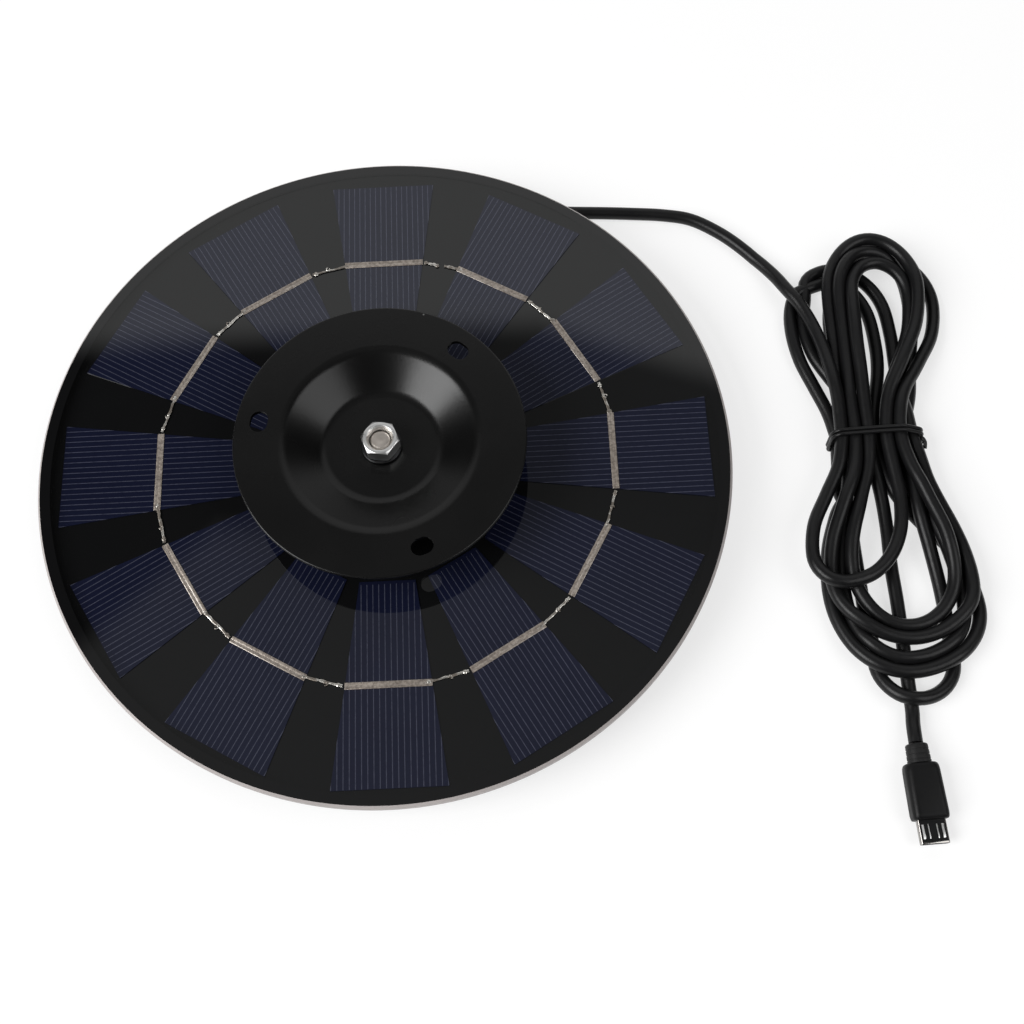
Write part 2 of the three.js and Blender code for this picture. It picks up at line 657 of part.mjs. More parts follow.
function lead() {
  add("lead_out", tube(LEAD_OUT, CORD_RADIUS, CORD_SIDES, 18), CORD_JACKET);
  add("lead_hank", hankGeometry(), CORD_JACKET);
  add("lead_tail", tube(LEAD_TAIL, CORD_RADIUS, CORD_SIDES, 6), CORD_JACKET);
  add("hank_tie", tieGeometry(), SEAL_RUBBER);
  plug();
}

laminate();
cellString();
centreMount();
rearHousing();
lead();

export default group;
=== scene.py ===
"""Looks of a round photovoltaic panel with a raised centre flange and a corded micro-USB lead.

Lengths in the constants and shape helpers are in millimetres; build() turns them into metres.
"""
import math
import random

import bmesh
import bpy
import numpy as np
from mathutils import Matrix, Vector


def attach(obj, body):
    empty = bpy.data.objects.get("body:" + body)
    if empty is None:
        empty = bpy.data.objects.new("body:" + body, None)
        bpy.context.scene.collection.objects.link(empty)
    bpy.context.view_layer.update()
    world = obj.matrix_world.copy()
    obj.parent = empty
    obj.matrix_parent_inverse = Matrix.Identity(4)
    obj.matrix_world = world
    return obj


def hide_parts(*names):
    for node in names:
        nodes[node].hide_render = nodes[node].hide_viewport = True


MM = 0.001

# ---------- dimensions shared with the CAD part ----------
PANEL_RADIUS = 87.5
GLASS_Z, GLASS_TOP = 11.65, 14.85
CENTRE_HOLE_RADIUS = 3.6
CELL_COUNT = 12
STRING_START = 90
BUSBAR_APOTHEM, BUSBAR_WIDTH, BUSBAR_LENGTH = 57.9, 1.7, 21
RIBBON_Z, RIBBON_THICKNESS = 11.45, 0.15
FLANGE_RADIUS, FLANGE_TOP, FLANGE_SHEET = 36, 26.25, 1.2
DISH_FLOOR, DISH_FLOOR_RADIUS, DISH_TOP_RADIUS = 20.65, 14.6, 24
SLOT_PITCH_RADIUS, SLOT_RADIUS, SLOT_STRETCH, SLOT_PHASE, SLOT_COUNT = 30.2, 2.15, 0.6, 49, 3
NUT_Z, NUT_TOP, NUT_FLATS, NUT_TURN = 21.75, 26.05, 8.4, -9
STUD_END, STUD_RADIUS, STUD_HEAD_Z, STUD_HEAD_TOP = 24.95, 2.5, 4.15, 7.55
HOUSING_RADIUS, HOUSING_Z, HOUSING_TOP, HOUSING_WALL = 40, 3.3, 9.6, 2
COVER_Z, COVER_TOP = 1.45, 3.25
GLAND_ANGLE, GLAND_HEIGHT, GLAND_LENGTH = 75, 5.45, 17
PLUG_ORIGIN, PLUG_YAW = (125.5, -76.6, 3), 2
CORD_RADIUS = 1.75
TIE_Y, TIE_RADIUS = 3.0, 0.5
WASHER_Z, WASHER_TOP, WASHER_RADIUS = 20.75, 21.65, 5
SCREW_PITCH_RADIUS, SCREW_PHASE, SCREW_COUNT = 32, 45, 4
FOOT_PITCH_RADIUS, FOOT_RADIUS, FOOT_TOP, FOOT_COUNT = 31.5, 4.5, 1.4, 4
THREAD_PITCH = 0.8

# ---------- the lead's route, as in the CAD part, with the hank's turns in full ----------
LEAD_OUT = [
    (14.83, 55.35, 5.45), (15.61, 58.25, 5.2), (16.9, 63.08, 3.8), (18.2, 67.9, 2.4),
    (20.5, 73.2, 1.8), (27, 77.2, 1.8), (35, 78.6, 1.8), (44, 78.3, 1.8), (53.3, 77.6, 1.8),
    (62, 77, 1.8), (70, 76.3, 1.8), (78, 75.4, 1.8), (85.5, 73.6, 1.8), (93, 68.9, 1.8),
    (98.5, 63.9, 1.8), (103.6, 58, 1.8), (107.2, 52.6, 2.2), (109.4, 48.2, 2.8),
]
LEAD_ON_TOP = [(112.4, 42.5, 5.2), (115, 35, 7.6), (117.2, 24, 9), (118.2, 13.5, 9)]
# One row per turn of the hank: where it enters the tie (x, z), the lower loop's west side, tip
# and east side, where it comes back through the tie, and the upper loop's east side, tip and west side.
TURNS = [
    ((117.3, 8.96), ((106, -29, 7), (113, -36.8, 8.8), (130.2, -15, 8.96)),
     (129.3, 8.96), ((143.2, 45, 8.9), (132.3, 61.5, 6.5), (120.6, 42, 3.9))),
    ((119.05, 5.93), ((113.7, -36, 1.8), (126.5, -56, 6.5), (142.8, -41, 1.8)),
     (131.05, 5.93), ((141.9, 45, 5.5), (133.6, 54.2, 7), (123.7, 30, 8.9))),
    ((124.3, 8.96), ((115.6, -31, 5.3), (128, -48, 5.4), (140.8, -34, 5.4)),
     (132.8, 8.96), ((148.9, 43, 1.8), (136, 57.5, 1.8), (119.5, 38, 3.0))),
    ((120.8, 2.9), ((110.3, -38, 1.8), (126, -59.3, 5.3), (146.6, -43, 1.8)),
     (127.5, 2.9), ((131.6, 30, 1.8), (120.5, 51, 1.8), (109.9, 36, 1.8))),
    ((117.3, 2.9), ((118, -50, 1.8), (127.5, -66, 5), (138.9, -55, 1.8)),
     (134.55, 5.93), ((142.3, 43, 2), (132.8, 57.8, 6.5), (122, 36, 6.4))),
    ((120.8, 8.96), ((110.3, -35, 5.3), (128, -51.3, 5.4), (144.9, -38, 5.3)),
     (136.3, 8.7), ((136.2, 34, 1.8), (124, 54.6, 1.8), (112.9, 38, 1.8))),
]
TAIL_WAIST = (125.6, 5.0)
TIP_RADIUS = 10  # a loop's tip that would be rounder than this needs no straight start
TAIL_OVER = [
    (126.9, -8, 3.6), (127.1, -21.4, 1.8), (126.6, -31.1, 1.8),
    (126.7, -40.6, 1.8), (126.5, -51.9, 1.8), (126.3, -61, 1.8),
]
LEAD_TAIL = [
    (126.2, -68.8, 1.8), (125.9, -71, 2), (125.6, -73.6, 2.7), (125.5, -75.2, 3), (125.5, -76.3, 3),
]

# ---------- how the hank settles ----------
HANK_WEST, HANK_MIDDLE, HANK_SOUTH, HANK_NORTH = 100, 126.9, -67, 60
ROUTE_STEP, END_POINTS = 2.5, 14  # spacing of the points that settle, and how many at the plug stay put
SETTLE_ROUNDS, SEARCH_EVERY, SEARCH_REACH, NEIGHBOURS = 300, 20, 9, 5
STRAND_GAP, RESTING_HEIGHT, LOWEST_GAP = 0.02, 1.78, 0.01
PUSH, STIFFNESS, SINK, HOMING = 1.2, 0.35, 0.01, 0.02
TIE_REACH, TIE_STRAIGHT, TIE_HALF_WIDTH, TIE_SPREAD = 14, 2, 9.4, 0.45

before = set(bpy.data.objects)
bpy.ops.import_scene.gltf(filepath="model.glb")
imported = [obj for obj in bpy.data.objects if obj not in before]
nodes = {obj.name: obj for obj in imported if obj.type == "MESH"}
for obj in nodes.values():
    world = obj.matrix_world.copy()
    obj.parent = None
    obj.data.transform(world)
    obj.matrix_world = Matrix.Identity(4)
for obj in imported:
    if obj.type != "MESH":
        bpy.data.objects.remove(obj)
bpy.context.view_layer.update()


# ---------- camera ----------
def make_camera():
    data = bpy.data.cameras.new("view")
    data.lens, data.sensor_width = 44.79, 36
    data.clip_start, data.clip_end = 0.01, 20
    camera = bpy.data.objects.new("view", data)
    position = Vector((31.4, -127.7, 310.1)) * MM
    right, up, back = (0.99887, -0.0446, -0.01676), (0.04764, 0.93504, 0.3513), (0, -0.3517, 0.9361)
    turn = Matrix((right, up, back)).transposed().to_4x4()
    camera.matrix_world = Matrix.Translation(position) @ turn
    bpy.context.scene.collection.objects.link(camera)
    bpy.context.scene.camera = camera


make_camera()


# ---------- route of the lead ----------
def flank(waist, belly, steps=4):
    """From the tie out to a loop's widest place, leaving both ends along Y."""
    points = []
    for i in range(steps):
        t = i / steps
        s = t - math.sin(2 * math.pi * t) / (2 * math.pi) * 0.75
        points.append((waist[0] + (belly[0] - waist[0]) * s, TIE_Y + (belly[1] - TIE_Y) * t,
                       waist[1] + (belly[2] - waist[1]) * s))
    return points


def quarter(belly, tip, steps=4):
    """From a loop's widest place to just before its tip.

    Where the tip would be sharp, the quarter starts with a straight stretch.
    """
    wide, high = abs(tip[0] - belly[0]), abs(tip[1] - belly[1])
    sharpness = max(0.0, 1 - wide ** 2 / high / TIP_RADIUS)
    straight = sharpness * max(0.0, 1 - wide / high)
    points = []
    for i in range(steps):
        a = i / steps * math.pi / 2
        forward = (straight if i else 0) + (1 - straight) * math.sin(a)
        points.append((belly[0] + (tip[0] - belly[0]) * (1 - math.cos(a)),
                       belly[1] + (tip[1] - belly[1]) * forward,
                       belly[2] + (tip[2] - belly[2]) * math.sin(a)))
    return points


def loop(waist_in, first, tip, last, waist_out):
    way_in = flank(waist_in, first) + quarter(first, tip)
    way_out = flank(waist_out, last) + quarter(last, tip)
    return way_in + [tip] + way_out[:0:-1]


def lead_route():
    points = LEAD_OUT + LEAD_ON_TOP
    entries = [turn[0] for turn in TURNS[1:]] + [TAIL_WAIST]
    for (entry, lower, back, upper), following in zip(TURNS, entries):
        points = points + loop(entry, *lower, back) + loop(back, *upper, following)
    return np.array(points + [(TAIL_WAIST[0], TIE_Y, TAIL_WAIST[1])] + TAIL_OVER + LEAD_TAIL)


def smoothed(points, samples=8):
    """A centripetal Catmull-Rom curve through the points."""
    ends = np.vstack([2 * points[0] - points[1], points, 2 * points[-1] - points[-2]])
    curve = []
    for i in range(1, len(ends) - 2):
        p0, p1, p2, p3 = ends[i - 1:i + 3]
        t1 = np.linalg.norm(p1 - p0) ** 0.5
        t2 = t1 + np.linalg.norm(p2 - p1) ** 0.5
        t3 = t2 + np.linalg.norm(p3 - p2) ** 0.5
        for t in np.linspace(t1, t2, samples, endpoint=False):
            a1 = ((t1 - t) * p0 + t * p1) / t1
            a2 = ((t2 - t) * p1 + (t - t1) * p2) / (t2 - t1)
            a3 = ((t3 - t) * p2 + (t - t2) * p3) / (t3 - t2)
            b1 = ((t2 - t) * a1 + t * a2) / t2
            b2 = ((t3 - t) * a2 + (t - t1) * a3) / (t3 - t1)
            curve.append(((t2 - t) * b1 + (t - t1) * b2) / (t2 - t1))
    return np.array(curve + [ends[-2]])


def evenly(points, step):
    along = np.r_[0, np.cumsum(np.linalg.norm(np.diff(points, axis=0), axis=1))]
    places = np.linspace(0, along[-1], round(along[-1] / step) + 1)
    return np.stack([np.interp(places, along, points[:, k]) for k in range(3)], axis=1)


def settled(points):
    """Pushes the hank's strands apart until none lies in another, and lets them sink to the floor."""
    home, lead = points, points.copy()
    order = np.arange(len(lead))
    free = (home[:, 0] > HANK_WEST) & (home[:, 1] < HANK_NORTH) & (home[:, 1] > HANK_SOUTH)
    free[-END_POINTS:] = False
    free = free[:, None] * 1.0

    def bend(line):
        out = np.zeros_like(line)
        out[1:-1] = line[1:-1] - (line[2:] + line[:-2]) / 2
        return out

    own_bend = bend(home)
    for i in range(SETTLE_ROUNDS):
        if i % SEARCH_EVERY == 0:
            gaps = np.linalg.norm(lead[:, None] - lead[None], axis=2)
            a, b = np.nonzero((gaps < SEARCH_REACH) & (order[None] - order[:, None] > NEIGHBOURS))
        apart = lead[a] - lead[b]
        gap = np.linalg.norm(apart, axis=1) + 1e-9
        short = np.maximum(2 * CORD_RADIUS + STRAND_GAP - gap, 0)
        push = (short / gap)[:, None] * apart / 2
        total, count = np.zeros_like(lead), np.zeros(len(lead))
        np.add.at(total, a, push)
        np.add.at(total, b, -push)
        np.add.at(count, a, short > 0)
        np.add.at(count, b, short > 0)
        lead += PUSH * total / np.maximum(count, 1)[:, None] * free
        now = bend(lead)
        lead[:, :2] -= STIFFNESS * (now - own_bend)[:, :2] * free
        lead[:, 2] -= (STIFFNESS * now[:, 2] + SINK) * free[:, 0]
        lead[:, :2] += HOMING * (home - lead)[:, :2] * free
        off = np.abs(lead[:, 1] - TIE_Y)
        room = TIE_HALF_WIDTH + np.maximum(off - TIE_STRAIGHT, 0) * TIE_SPREAD
        tied = (free[:, 0] > 0) & (off < TIE_REACH)
        lead[tied, 0] = np.clip(lead[tied, 0], HANK_MIDDLE - room[tied], HANK_MIDDLE + room[tied])
        lead[:, 2] = np.maximum(lead[:, 2], RESTING_HEIGHT)
    return lead


def on_floor(line, radius):
    """Lifts the points of a round line that would reach into the floor."""
    line[:, 2] = np.maximum(line[:, 2], radius + LOWEST_GAP)
    return line


def make_curve(name, points, radius):
    data = bpy.data.curves.new(name, "CURVE")
    data.dimensions = "3D"
    data.bevel_depth, data.bevel_resolution, data.use_fill_caps = radius * MM, 5, True
    spline = data.splines.new("POLY")
    spline.points.add(len(points) - 1)
    for spot, point in zip(spline.points, points):
        spot.co = (*(Vector(point) * MM), 1)
    spline.use_smooth = True
    curve = bpy.data.objects.new(name, data)
    bpy.context.scene.collection.objects.link(curve)
    return curve


lead_line = settled(evenly(smoothed(lead_route()), ROUTE_STEP))
lead_line = on_floor(smoothed(lead_line, 2), CORD_RADIUS)
lead = make_curve("lead", lead_line, CORD_RADIUS)


# ---------- node helpers ----------
class Graph:
    """Short names for the nodes of one tree."""

    def __init__(self, tree):
        self.tree = tree

    def add(self, kind, inputs=None, **settings):
        node = self.tree.nodes.new(kind)
        for name, value in settings.items():
            setattr(node, name, value)
        for name, value in (inputs or {}).items():
            self.feed(node.inputs[name], value)
        return node

    def feed(self, socket, value):
        if isinstance(value, bpy.types.NodeSocket):
            self.tree.links.new(value, socket)
        else:
            socket.default_value = value

    def math(self, operation, *values):
        return self.add("ShaderNodeMath", dict(enumerate(values)), operation=operation).outputs[0]

    def step(self, value, low, high, to_low=0.0, to_high=1.0):
        """Goes smoothly from to_low to to_high as the value passes from low to high."""
        inputs = {"Value": value, "From Min": low, "From Max": high,
                  "To Min": to_low, "To Max": to_high}
        return self.add("ShaderNodeMapRange", inputs, interpolation_type="SMOOTHSTEP").outputs["Result"]

    def mix(self, factor, a, b):
        node = self.add("ShaderNodeMix", data_type="RGBA")
        self.feed(node.inputs[0], factor)
        self.feed(node.inputs[6], a)
        self.feed(node.inputs[7], b)
        return node.outputs[2]

    def noise(self, place, scale, detail=2.0, roughness=0.5):
        inputs = {"Vector": place, "Scale": scale, "Detail": detail, "Roughness": roughness}
        return self.add("ShaderNodeTexNoise", inputs).outputs["Fac"]

    def bump(self, height, distance):
        inputs = {"Height": height, "Distance": distance, "Strength": 1.0}
        return self.add("ShaderNodeBump", inputs).outputs["Normal"]

    def place(self):
        return self.add("ShaderNodeTexCoord").outputs["Object"]

    def split(self, vector):
        return self.add("ShaderNodeSeparateXYZ", {"Vector": vector}).outputs


def colour(red, green, blue):
    """A linear colour, opaque."""
    return (red, green, blue, 1.0)


def grey(level):
    return colour(level, level, level)


def new_material(name):
    material = bpy.data.materials.new(name)
    material.use_nodes = True
    return material, Graph(material.node_tree)


def surface(name, base, roughness, spread=0.15, grain=900, depth=0.00002, **sockets):
    """A material whose colour, roughness and relief all vary a little with two sizes of noise."""
    material, g = new_material(name)
    shader = material.node_tree.nodes["Principled BSDF"]
    for socket, value in sockets.items():
        shader.inputs[socket.replace("_", " ")].default_value = value
    place = g.place()
    broad, fine = g.noise(place, grain / 12, 3), g.noise(place, grain, 4, 0.6)
    low = colour(*[c * (1 - spread) for c in base])
    high = colour(*[c * (1 + spread) for c in base])
    g.feed(shader.inputs["Base Color"], g.mix(broad, low, high))
    wear = g.math("ADD", g.math("MULTIPLY", broad, 0.5), g.math("MULTIPLY", fine, 0.5))
    g.feed(shader.inputs["Roughness"], g.step(wear, 0.3, 0.7, roughness * 0.85, roughness * 1.15))
    g.feed(shader.inputs["Normal"], g.bump(fine, depth))
    return material


# ---------- materials ----------
def clear_glass():
    """The clear faces of the glass. The gloss is on the layers bonded to its back."""
    material, g = new_material("clear_glass")
    tree = material.node_tree
    through = g.add("ShaderNodeBsdfTransparent", {"Color": colour(0.985, 0.99, 0.985)}).outputs[0]
    g.feed(tree.nodes["Material Output"].inputs["Surface"], through)
    tree.nodes.remove(tree.nodes["Principled BSDF"])
    return material


def under_glass(material):
    """Gives a material the gloss of the glass that it is bonded to, in place of its own."""
    inputs = material.node_tree.nodes["Principled BSDF"].inputs
    inputs["Specular IOR Level"].default_value = 0.0
    inputs["Coat Weight"].default_value = 1.0
    inputs["Coat IOR"].default_value = 1.52
    inputs["Coat Roughness"].default_value = 0.02
    return material


def silicon_cells():
    """Navy cells with fine silver fingers parallel to each cell's axis."""
    material, g = new_material("silicon_cells")
    shader = material.node_tree.nodes["Principled BSDF"]
    place = g.place()
    x, y, _ = g.split(place)
    sector = math.radians(360 / CELL_COUNT)
    turn = g.math("MULTIPLY", g.math("ROUND", g.math("DIVIDE", g.math("ARCTAN2", y, x), sector)), sector)
    sine, cosine = g.math("SINE", turn), g.math("COSINE", turn)
    across = g.math("SUBTRACT", g.math("MULTIPLY", y, cosine), g.math("MULTIPLY", x, sine))
    along = g.math("ADD", g.math("MULTIPLY", x, cosine), g.math("MULTIPLY", y, sine))
    pitch, core, edge = 1.445 * MM, 0.04 * MM, 0.15 * MM
    inner_end, outer_end = (32.6 * MM, 32.9 * MM), (82.35 * MM, 82.45 * MM)
    count = g.math("ADD", g.math("DIVIDE", across, pitch), 40.0)  # kept above zero for the fraction
    off = g.math("MULTIPLY", g.math("ABSOLUTE", g.math("SUBTRACT", g.math("FRACT", count), 0.5)), pitch)
    finger = g.step(off, core, edge, 1.0, 0.0)
    printed = g.math("MULTIPLY", g.step(along, *outer_end, 1.0, 0.0), g.step(along, *inner_end))
    cloud = g.noise(place, 60, 3)
    dark, light = colour(0.0050, 0.0061, 0.0172), colour(0.0074, 0.0089, 0.0240)
    base = g.mix(cloud, dark, light)
    worn = g.step(g.noise(place, 900, 2), 0.25, 0.6, 0.55, 1.0)
    shown = g.math("MULTIPLY", g.math("MULTIPLY", finger, printed), worn)
    g.feed(shader.inputs["Base Color"], g.mix(shown, base, colour(0.052, 0.054, 0.080)))
    shader.inputs["Roughness"].default_value = 0.45
    g.feed(shader.inputs["Normal"], g.bump(shown, 0.00001))
    return material


def dusty_paint():
    """Satin black paint on the flange, with a fine orange peel and a few specks of dust."""
    material, g = new_material("flange_paint")
    shader = material.node_tree.nodes["Principled BSDF"]
    place = g.place()
    peel = g.noise(place, 1400, 3, 0.6)
    broad = g.noise(place, 45, 3)
    specks = g.add("ShaderNodeTexVoronoi", {"Vector": place, "Scale": 260.0, "Randomness": 1.0})
    chance = g.split(specks.outputs["Color"])[0]
    speck = g.math("MULTIPLY", g.step(specks.outputs["Distance"], 0.045, 0.075, 1.0, 0.0),
                   g.step(chance, 0.965, 0.97))
    base = g.mix(broad, grey(0.0018), grey(0.0028))
    g.feed(shader.inputs["Base Color"], g.mix(speck, base, grey(0.11)))
    g.feed(shader.inputs["Roughness"], g.step(broad, 0.3, 0.7, 0.25, 0.29))
    shader.inputs["Specular IOR Level"].default_value = 0.3
    g.feed(shader.inputs["Normal"], g.bump(peel, 0.000012))
    return material


def tinned_copper():
    """Beige tinned ribbon with a darker seam and scattered brighter solder."""
    material, g = new_material("tinned_ribbon")
    shader = material.node_tree.nodes["Principled BSDF"]
    place = g.place()
    fine, broad = g.noise(place, 1500, 3, 0.6), g.noise(place, 260, 2)
    warm, pale = colour(0.20, 0.165, 0.145), colour(0.40, 0.345, 0.305)
    g.feed(shader.inputs["Base Color"], g.mix(g.step(fine, 0.3, 0.7), warm, pale))
    shader.inputs["Metallic"].default_value = 0.55
    g.feed(shader.inputs["Roughness"], g.step(broad, 0.35, 0.65, 0.36, 0.5))
    g.feed(shader.inputs["Normal"], g.bump(fine, 0.00004))
    return material


def solder():
    """Bright, lumpy solder."""
    material, g = new_material("solder")
    shader = material.node_tree.nodes["Principled BSDF"]
    place = g.place()
    patch = g.step(g.noise(place, 420, 2), 0.45, 0.6)
    g.feed(shader.inputs["Base Color"], g.mix(patch, colour(0.22, 0.19, 0.165), colour(0.66, 0.63, 0.59)))
    shader.inputs["Metallic"].default_value = 0.9
    g.feed(shader.inputs["Roughness"], g.math("SUBTRACT", 0.45, g.math("MULTIPLY", patch, 0.18)))
    g.feed(shader.inputs["Normal"], g.bump(g.noise(place, 1300, 2), 0.00004))
    return material


def plated(name, base, roughness):
    """Bright plated or turned metal with fine directional scratches."""
    material, g = new_material(name)
    shader = material.node_tree.nodes["Principled BSDF"]
    place = g.place()
    stretch = g.add("ShaderNodeMapping", {"Vector": place, "Scale": (1.0, 1.0, 7.0)}).outputs[0]
    lines, broad = g.noise(stretch, 1300, 3, 0.6), g.noise(place, 220, 3)
    dull = colour(*[c * 0.86 for c in base])
    g.feed(shader.inputs["Base Color"], g.mix(broad, dull, colour(*base)))
    shader.inputs["Metallic"].default_value = 1.0
    g.feed(shader.inputs["Roughness"], g.step(broad, 0.3, 0.7, roughness * 0.8, roughness * 1.2))
    g.feed(shader.inputs["Normal"], g.bump(lines, 0.00001))
    return material


def circuit_board():
    """Green solder mask over copper tracks."""
    material, g = new_material("circuit_board")
    shader = material.node_tree.nodes["Principled BSDF"]
    tracks = g.add("ShaderNodeTexBrick", {
        "Vector": g.place(), "Scale": 240.0, "Mortar Size": 0.04, "Color1": colour(0.012, 0.09, 0.04),
        "Color2": colour(0.016, 0.12, 0.05), "Mortar": colour(0.03, 0.2, 0.09)})
    g.feed(shader.inputs["Base Color"], tracks.outputs["Color"])
    g.feed(shader.inputs["Normal"], g.bump(tracks.outputs["Fac"], 0.00003))
    shader.inputs["Roughness"].default_value = 0.35
    return material


GLASS = clear_glass()
GROUND_GLASS = surface("ground_glass", (0.42, 0.385, 0.375), 0.5, spread=0.25, grain=700)
FILM = under_glass(surface("encapsulant", (0.0046, 0.0046, 0.0050), 0.5, spread=0.1, depth=0.0))
EDGE_SEAL = under_glass(surface("edge_seal", (0.0046, 0.0046, 0.0050), 0.6, spread=0.1, depth=0.0))
BACK_SHEET = surface("back_sheet", (0.012, 0.012, 0.0125), 0.45)
SILICON = under_glass(silicon_cells())
TINNED = under_glass(tinned_copper())
SOLDER = under_glass(solder())
FLANGE_PAINT = dusty_paint()
ZINC = plated("zinc_plate", (0.86, 0.86, 0.85), 0.32)
STUD_STEEL = plated("turned_steel", (0.60, 0.55, 0.50), 0.38)
BLACK_STEEL = plated("blackened_steel", (0.04, 0.04, 0.042), 0.32)
SHELL_STEEL = plated("shell_steel", (0.36, 0.345, 0.33), 0.13)
CONTACT_GOLD = plated("contact_gold", (0.80, 0.55, 0.22), 0.2)
ABS = surface("moulded_plastic", (0.0085, 0.0085, 0.009), 0.42, grain=1400, depth=0.00004)
RUBBER = surface("rubber", (0.0065, 0.0065, 0.0068), 0.6, grain=700, Specular_IOR_Level=0.3)
NYLON = surface("nylon", (0.016, 0.016, 0.017), 0.5)
JACKET = surface("cord_jacket", (0.0060, 0.0060, 0.0064), 0.36, grain=800, depth=0.00003,
                 Specular_IOR_Level=0.25)
PLUG_PLASTIC = surface("plug_plastic", (0.0055, 0.0055, 0.0058), 0.42, grain=1600,
                       Specular_IOR_Level=0.15)
BOARD = circuit_board()
FERRITE = surface("ferrite", (0.035, 0.035, 0.04), 0.7)
CHIP = surface("chip_resin", (0.012, 0.012, 0.013), 0.5)
RED_WIRE = surface("red_insulation", (0.42, 0.012, 0.010), 0.4)
BLACK_WIRE = surface("black_insulation", (0.008, 0.008, 0.008), 0.4)
FLOOR = surface("floor", (0.36, 0.36, 0.36), 0.8, spread=0.004, grain=40, Specular_IOR_Level=0.1,
                Emission_Strength=0.66)


# ---------- mesh helpers ----------
def softened(profile, closed, steps=5):
    """Rounds a profile's corners. A point's third number says how far its rounding reaches."""
    points, count = [], len(profile)
    for i, (r, z, *reach) in enumerate(profile):
        inner = closed or 0 < i < count - 1
        if not reach or not reach[0] or not inner:
            points.append((r, z))
            continue
        corner = np.array((r, z), float)
        before = np.array(profile[i - 1][:2], float) - corner
        after = np.array(profile[(i + 1) % count][:2], float) - corner
        start = corner + before / np.linalg.norm(before) * reach[0]
        end = corner + after / np.linalg.norm(after) * reach[0]
        for k in range(steps + 1):
            t = k / steps
            points.append(tuple((1 - t) ** 2 * start + 2 * t * (1 - t) * corner + t * t * end))
    return points


def turned(profile, segments=128):
    """Vertices and faces of a profile turned round +Z. A profile that misses the axis closes on itself."""
    closed = profile[0][0] != 0
    profile = softened(profile, closed)
    vertices, rings = [], []
    for r, z in profile:
        if r == 0:
            rings.append([len(vertices)] * segments)
            vertices.append((0, 0, z))
            continue
        rings.append(list(range(len(vertices), len(vertices) + segments)))
        vertices += [(r * math.cos(2 * math.pi * k / segments), r * math.sin(2 * math.pi * k / segments), z)
                     for k in range(segments)]
    faces = []
    for i in range(len(rings) if closed else len(rings) - 1):
        a, b = rings[i], rings[(i + 1) % len(rings)]
        for k in range(segments):
            n = (k + 1) % segments
            face = list(dict.fromkeys((a[k], a[n], b[n], b[k])))
            if len(face) > 2:
                faces.append(face)
    return vertices, faces


def lofted(rings, capped=True):
    """Vertices and faces of rings of equally many points joined one to the next."""
    size = len(rings[0])
    vertices = [p for r in rings for p in r]
    faces = []
    for i in range(len(rings) - 1 if capped else len(rings)):
        a, b = i * size, (i + 1) % len(rings) * size
        faces += [(a + k, a + (k + 1) % size, b + (k + 1) % size, b + k) for k in range(size)]
    if capped:
        faces += [tuple(range(size)), tuple(range(len(vertices) - size, len(vertices)))]
    return vertices, faces


def rounded_ring(width, depth, radius, steps=6):
    """A rectangle with rounded corners, as a flat ring of points."""
    points = []
    for k, (sx, sy) in enumerate(((1, 1), (-1, 1), (-1, -1), (1, -1))):
        for i in range(steps + 1):
            a = (k + i / steps) * math.pi / 2
            points.append((sx * (width / 2 - radius) + radius * math.cos(a),
                           sy * (depth / 2 - radius) + radius * math.sin(a)))
    return points


def prism(outline, low, high):
    return lofted([[(x, y, low) for x, y in outline], [(x, y, high) for x, y in outline]])


def build(name, parts, place=lambda x, y, z: (x, y, z), sharp=38):
    """An object made of the given vertices and faces, put in place, with its normals facing out."""
    bm = bmesh.new()
    for vertices, faces in parts:
        made = [bm.verts.new(Vector(place(*v)) * MM) for v in vertices]
        for face in faces:
            bm.faces.new([made[i] for i in face])
    bmesh.ops.recalc_face_normals(bm, faces=bm.faces)
    mesh = bpy.data.meshes.new(name)
    bm.to_mesh(mesh)
    bm.free()
    obj = bpy.data.objects.new(name, mesh)
    bpy.context.scene.collection.objects.link(obj)
    shade(obj, sharp)
    return obj


def shade(obj, sharp=38):
    obj.data.shade_smooth()
    obj.data.set_sharp_from_angle(angle=math.radians(sharp))


def settle_modifiers(obj):
    """Replaces the object's mesh with what its modifiers make of it."""
    bpy.context.view_layer.update()
    result = bpy.data.meshes.new_from_object(obj.evaluated_get(bpy.context.evaluated_depsgraph_get()))
    obj.modifiers.clear()
    obj.data = result


def combine(obj, tool, operation):
    """Cuts, joins or crosses the object with a tool, which goes."""
    step = obj.modifiers.new("shape", "BOOLEAN")
    step.operation, step.solver, step.object = operation, "EXACT", tool
    settle_modifiers(obj)
    bpy.data.objects.remove(tool)
    shade(obj)


def bevelled(obj, width, angle=40, segments=2):
    step = obj.modifiers.new("edges", "BEVEL")
    step.width, step.segments, step.limit_method = width * MM, segments, "ANGLE"
    step.angle_limit = math.radians(angle)
    settle_modifiers(obj)
    shade(obj)
    flat = obj.modifiers.new("normals", "WEIGHTED_NORMAL")
    flat.keep_sharp, flat.weight = True, 100
    settle_modifiers(obj)


def finish(obj, body, slot, *materials, replaces=()):
    obj.data.materials.clear()
    for material in materials:
        obj.data.materials.append(material)
    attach(obj, body)
    if replaces:
        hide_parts(*replaces)
    return obj


def moved(part, dx, dy=0.0):
    vertices, faces = part
    return [(x + dx, y + dy, z) for x, y, z in vertices], faces


def at_angle(x, y, z, degrees):
    a = math.radians(degrees)
    return x * math.cos(a) - y * math.sin(a), x * math.sin(a) + y * math.cos(a), z


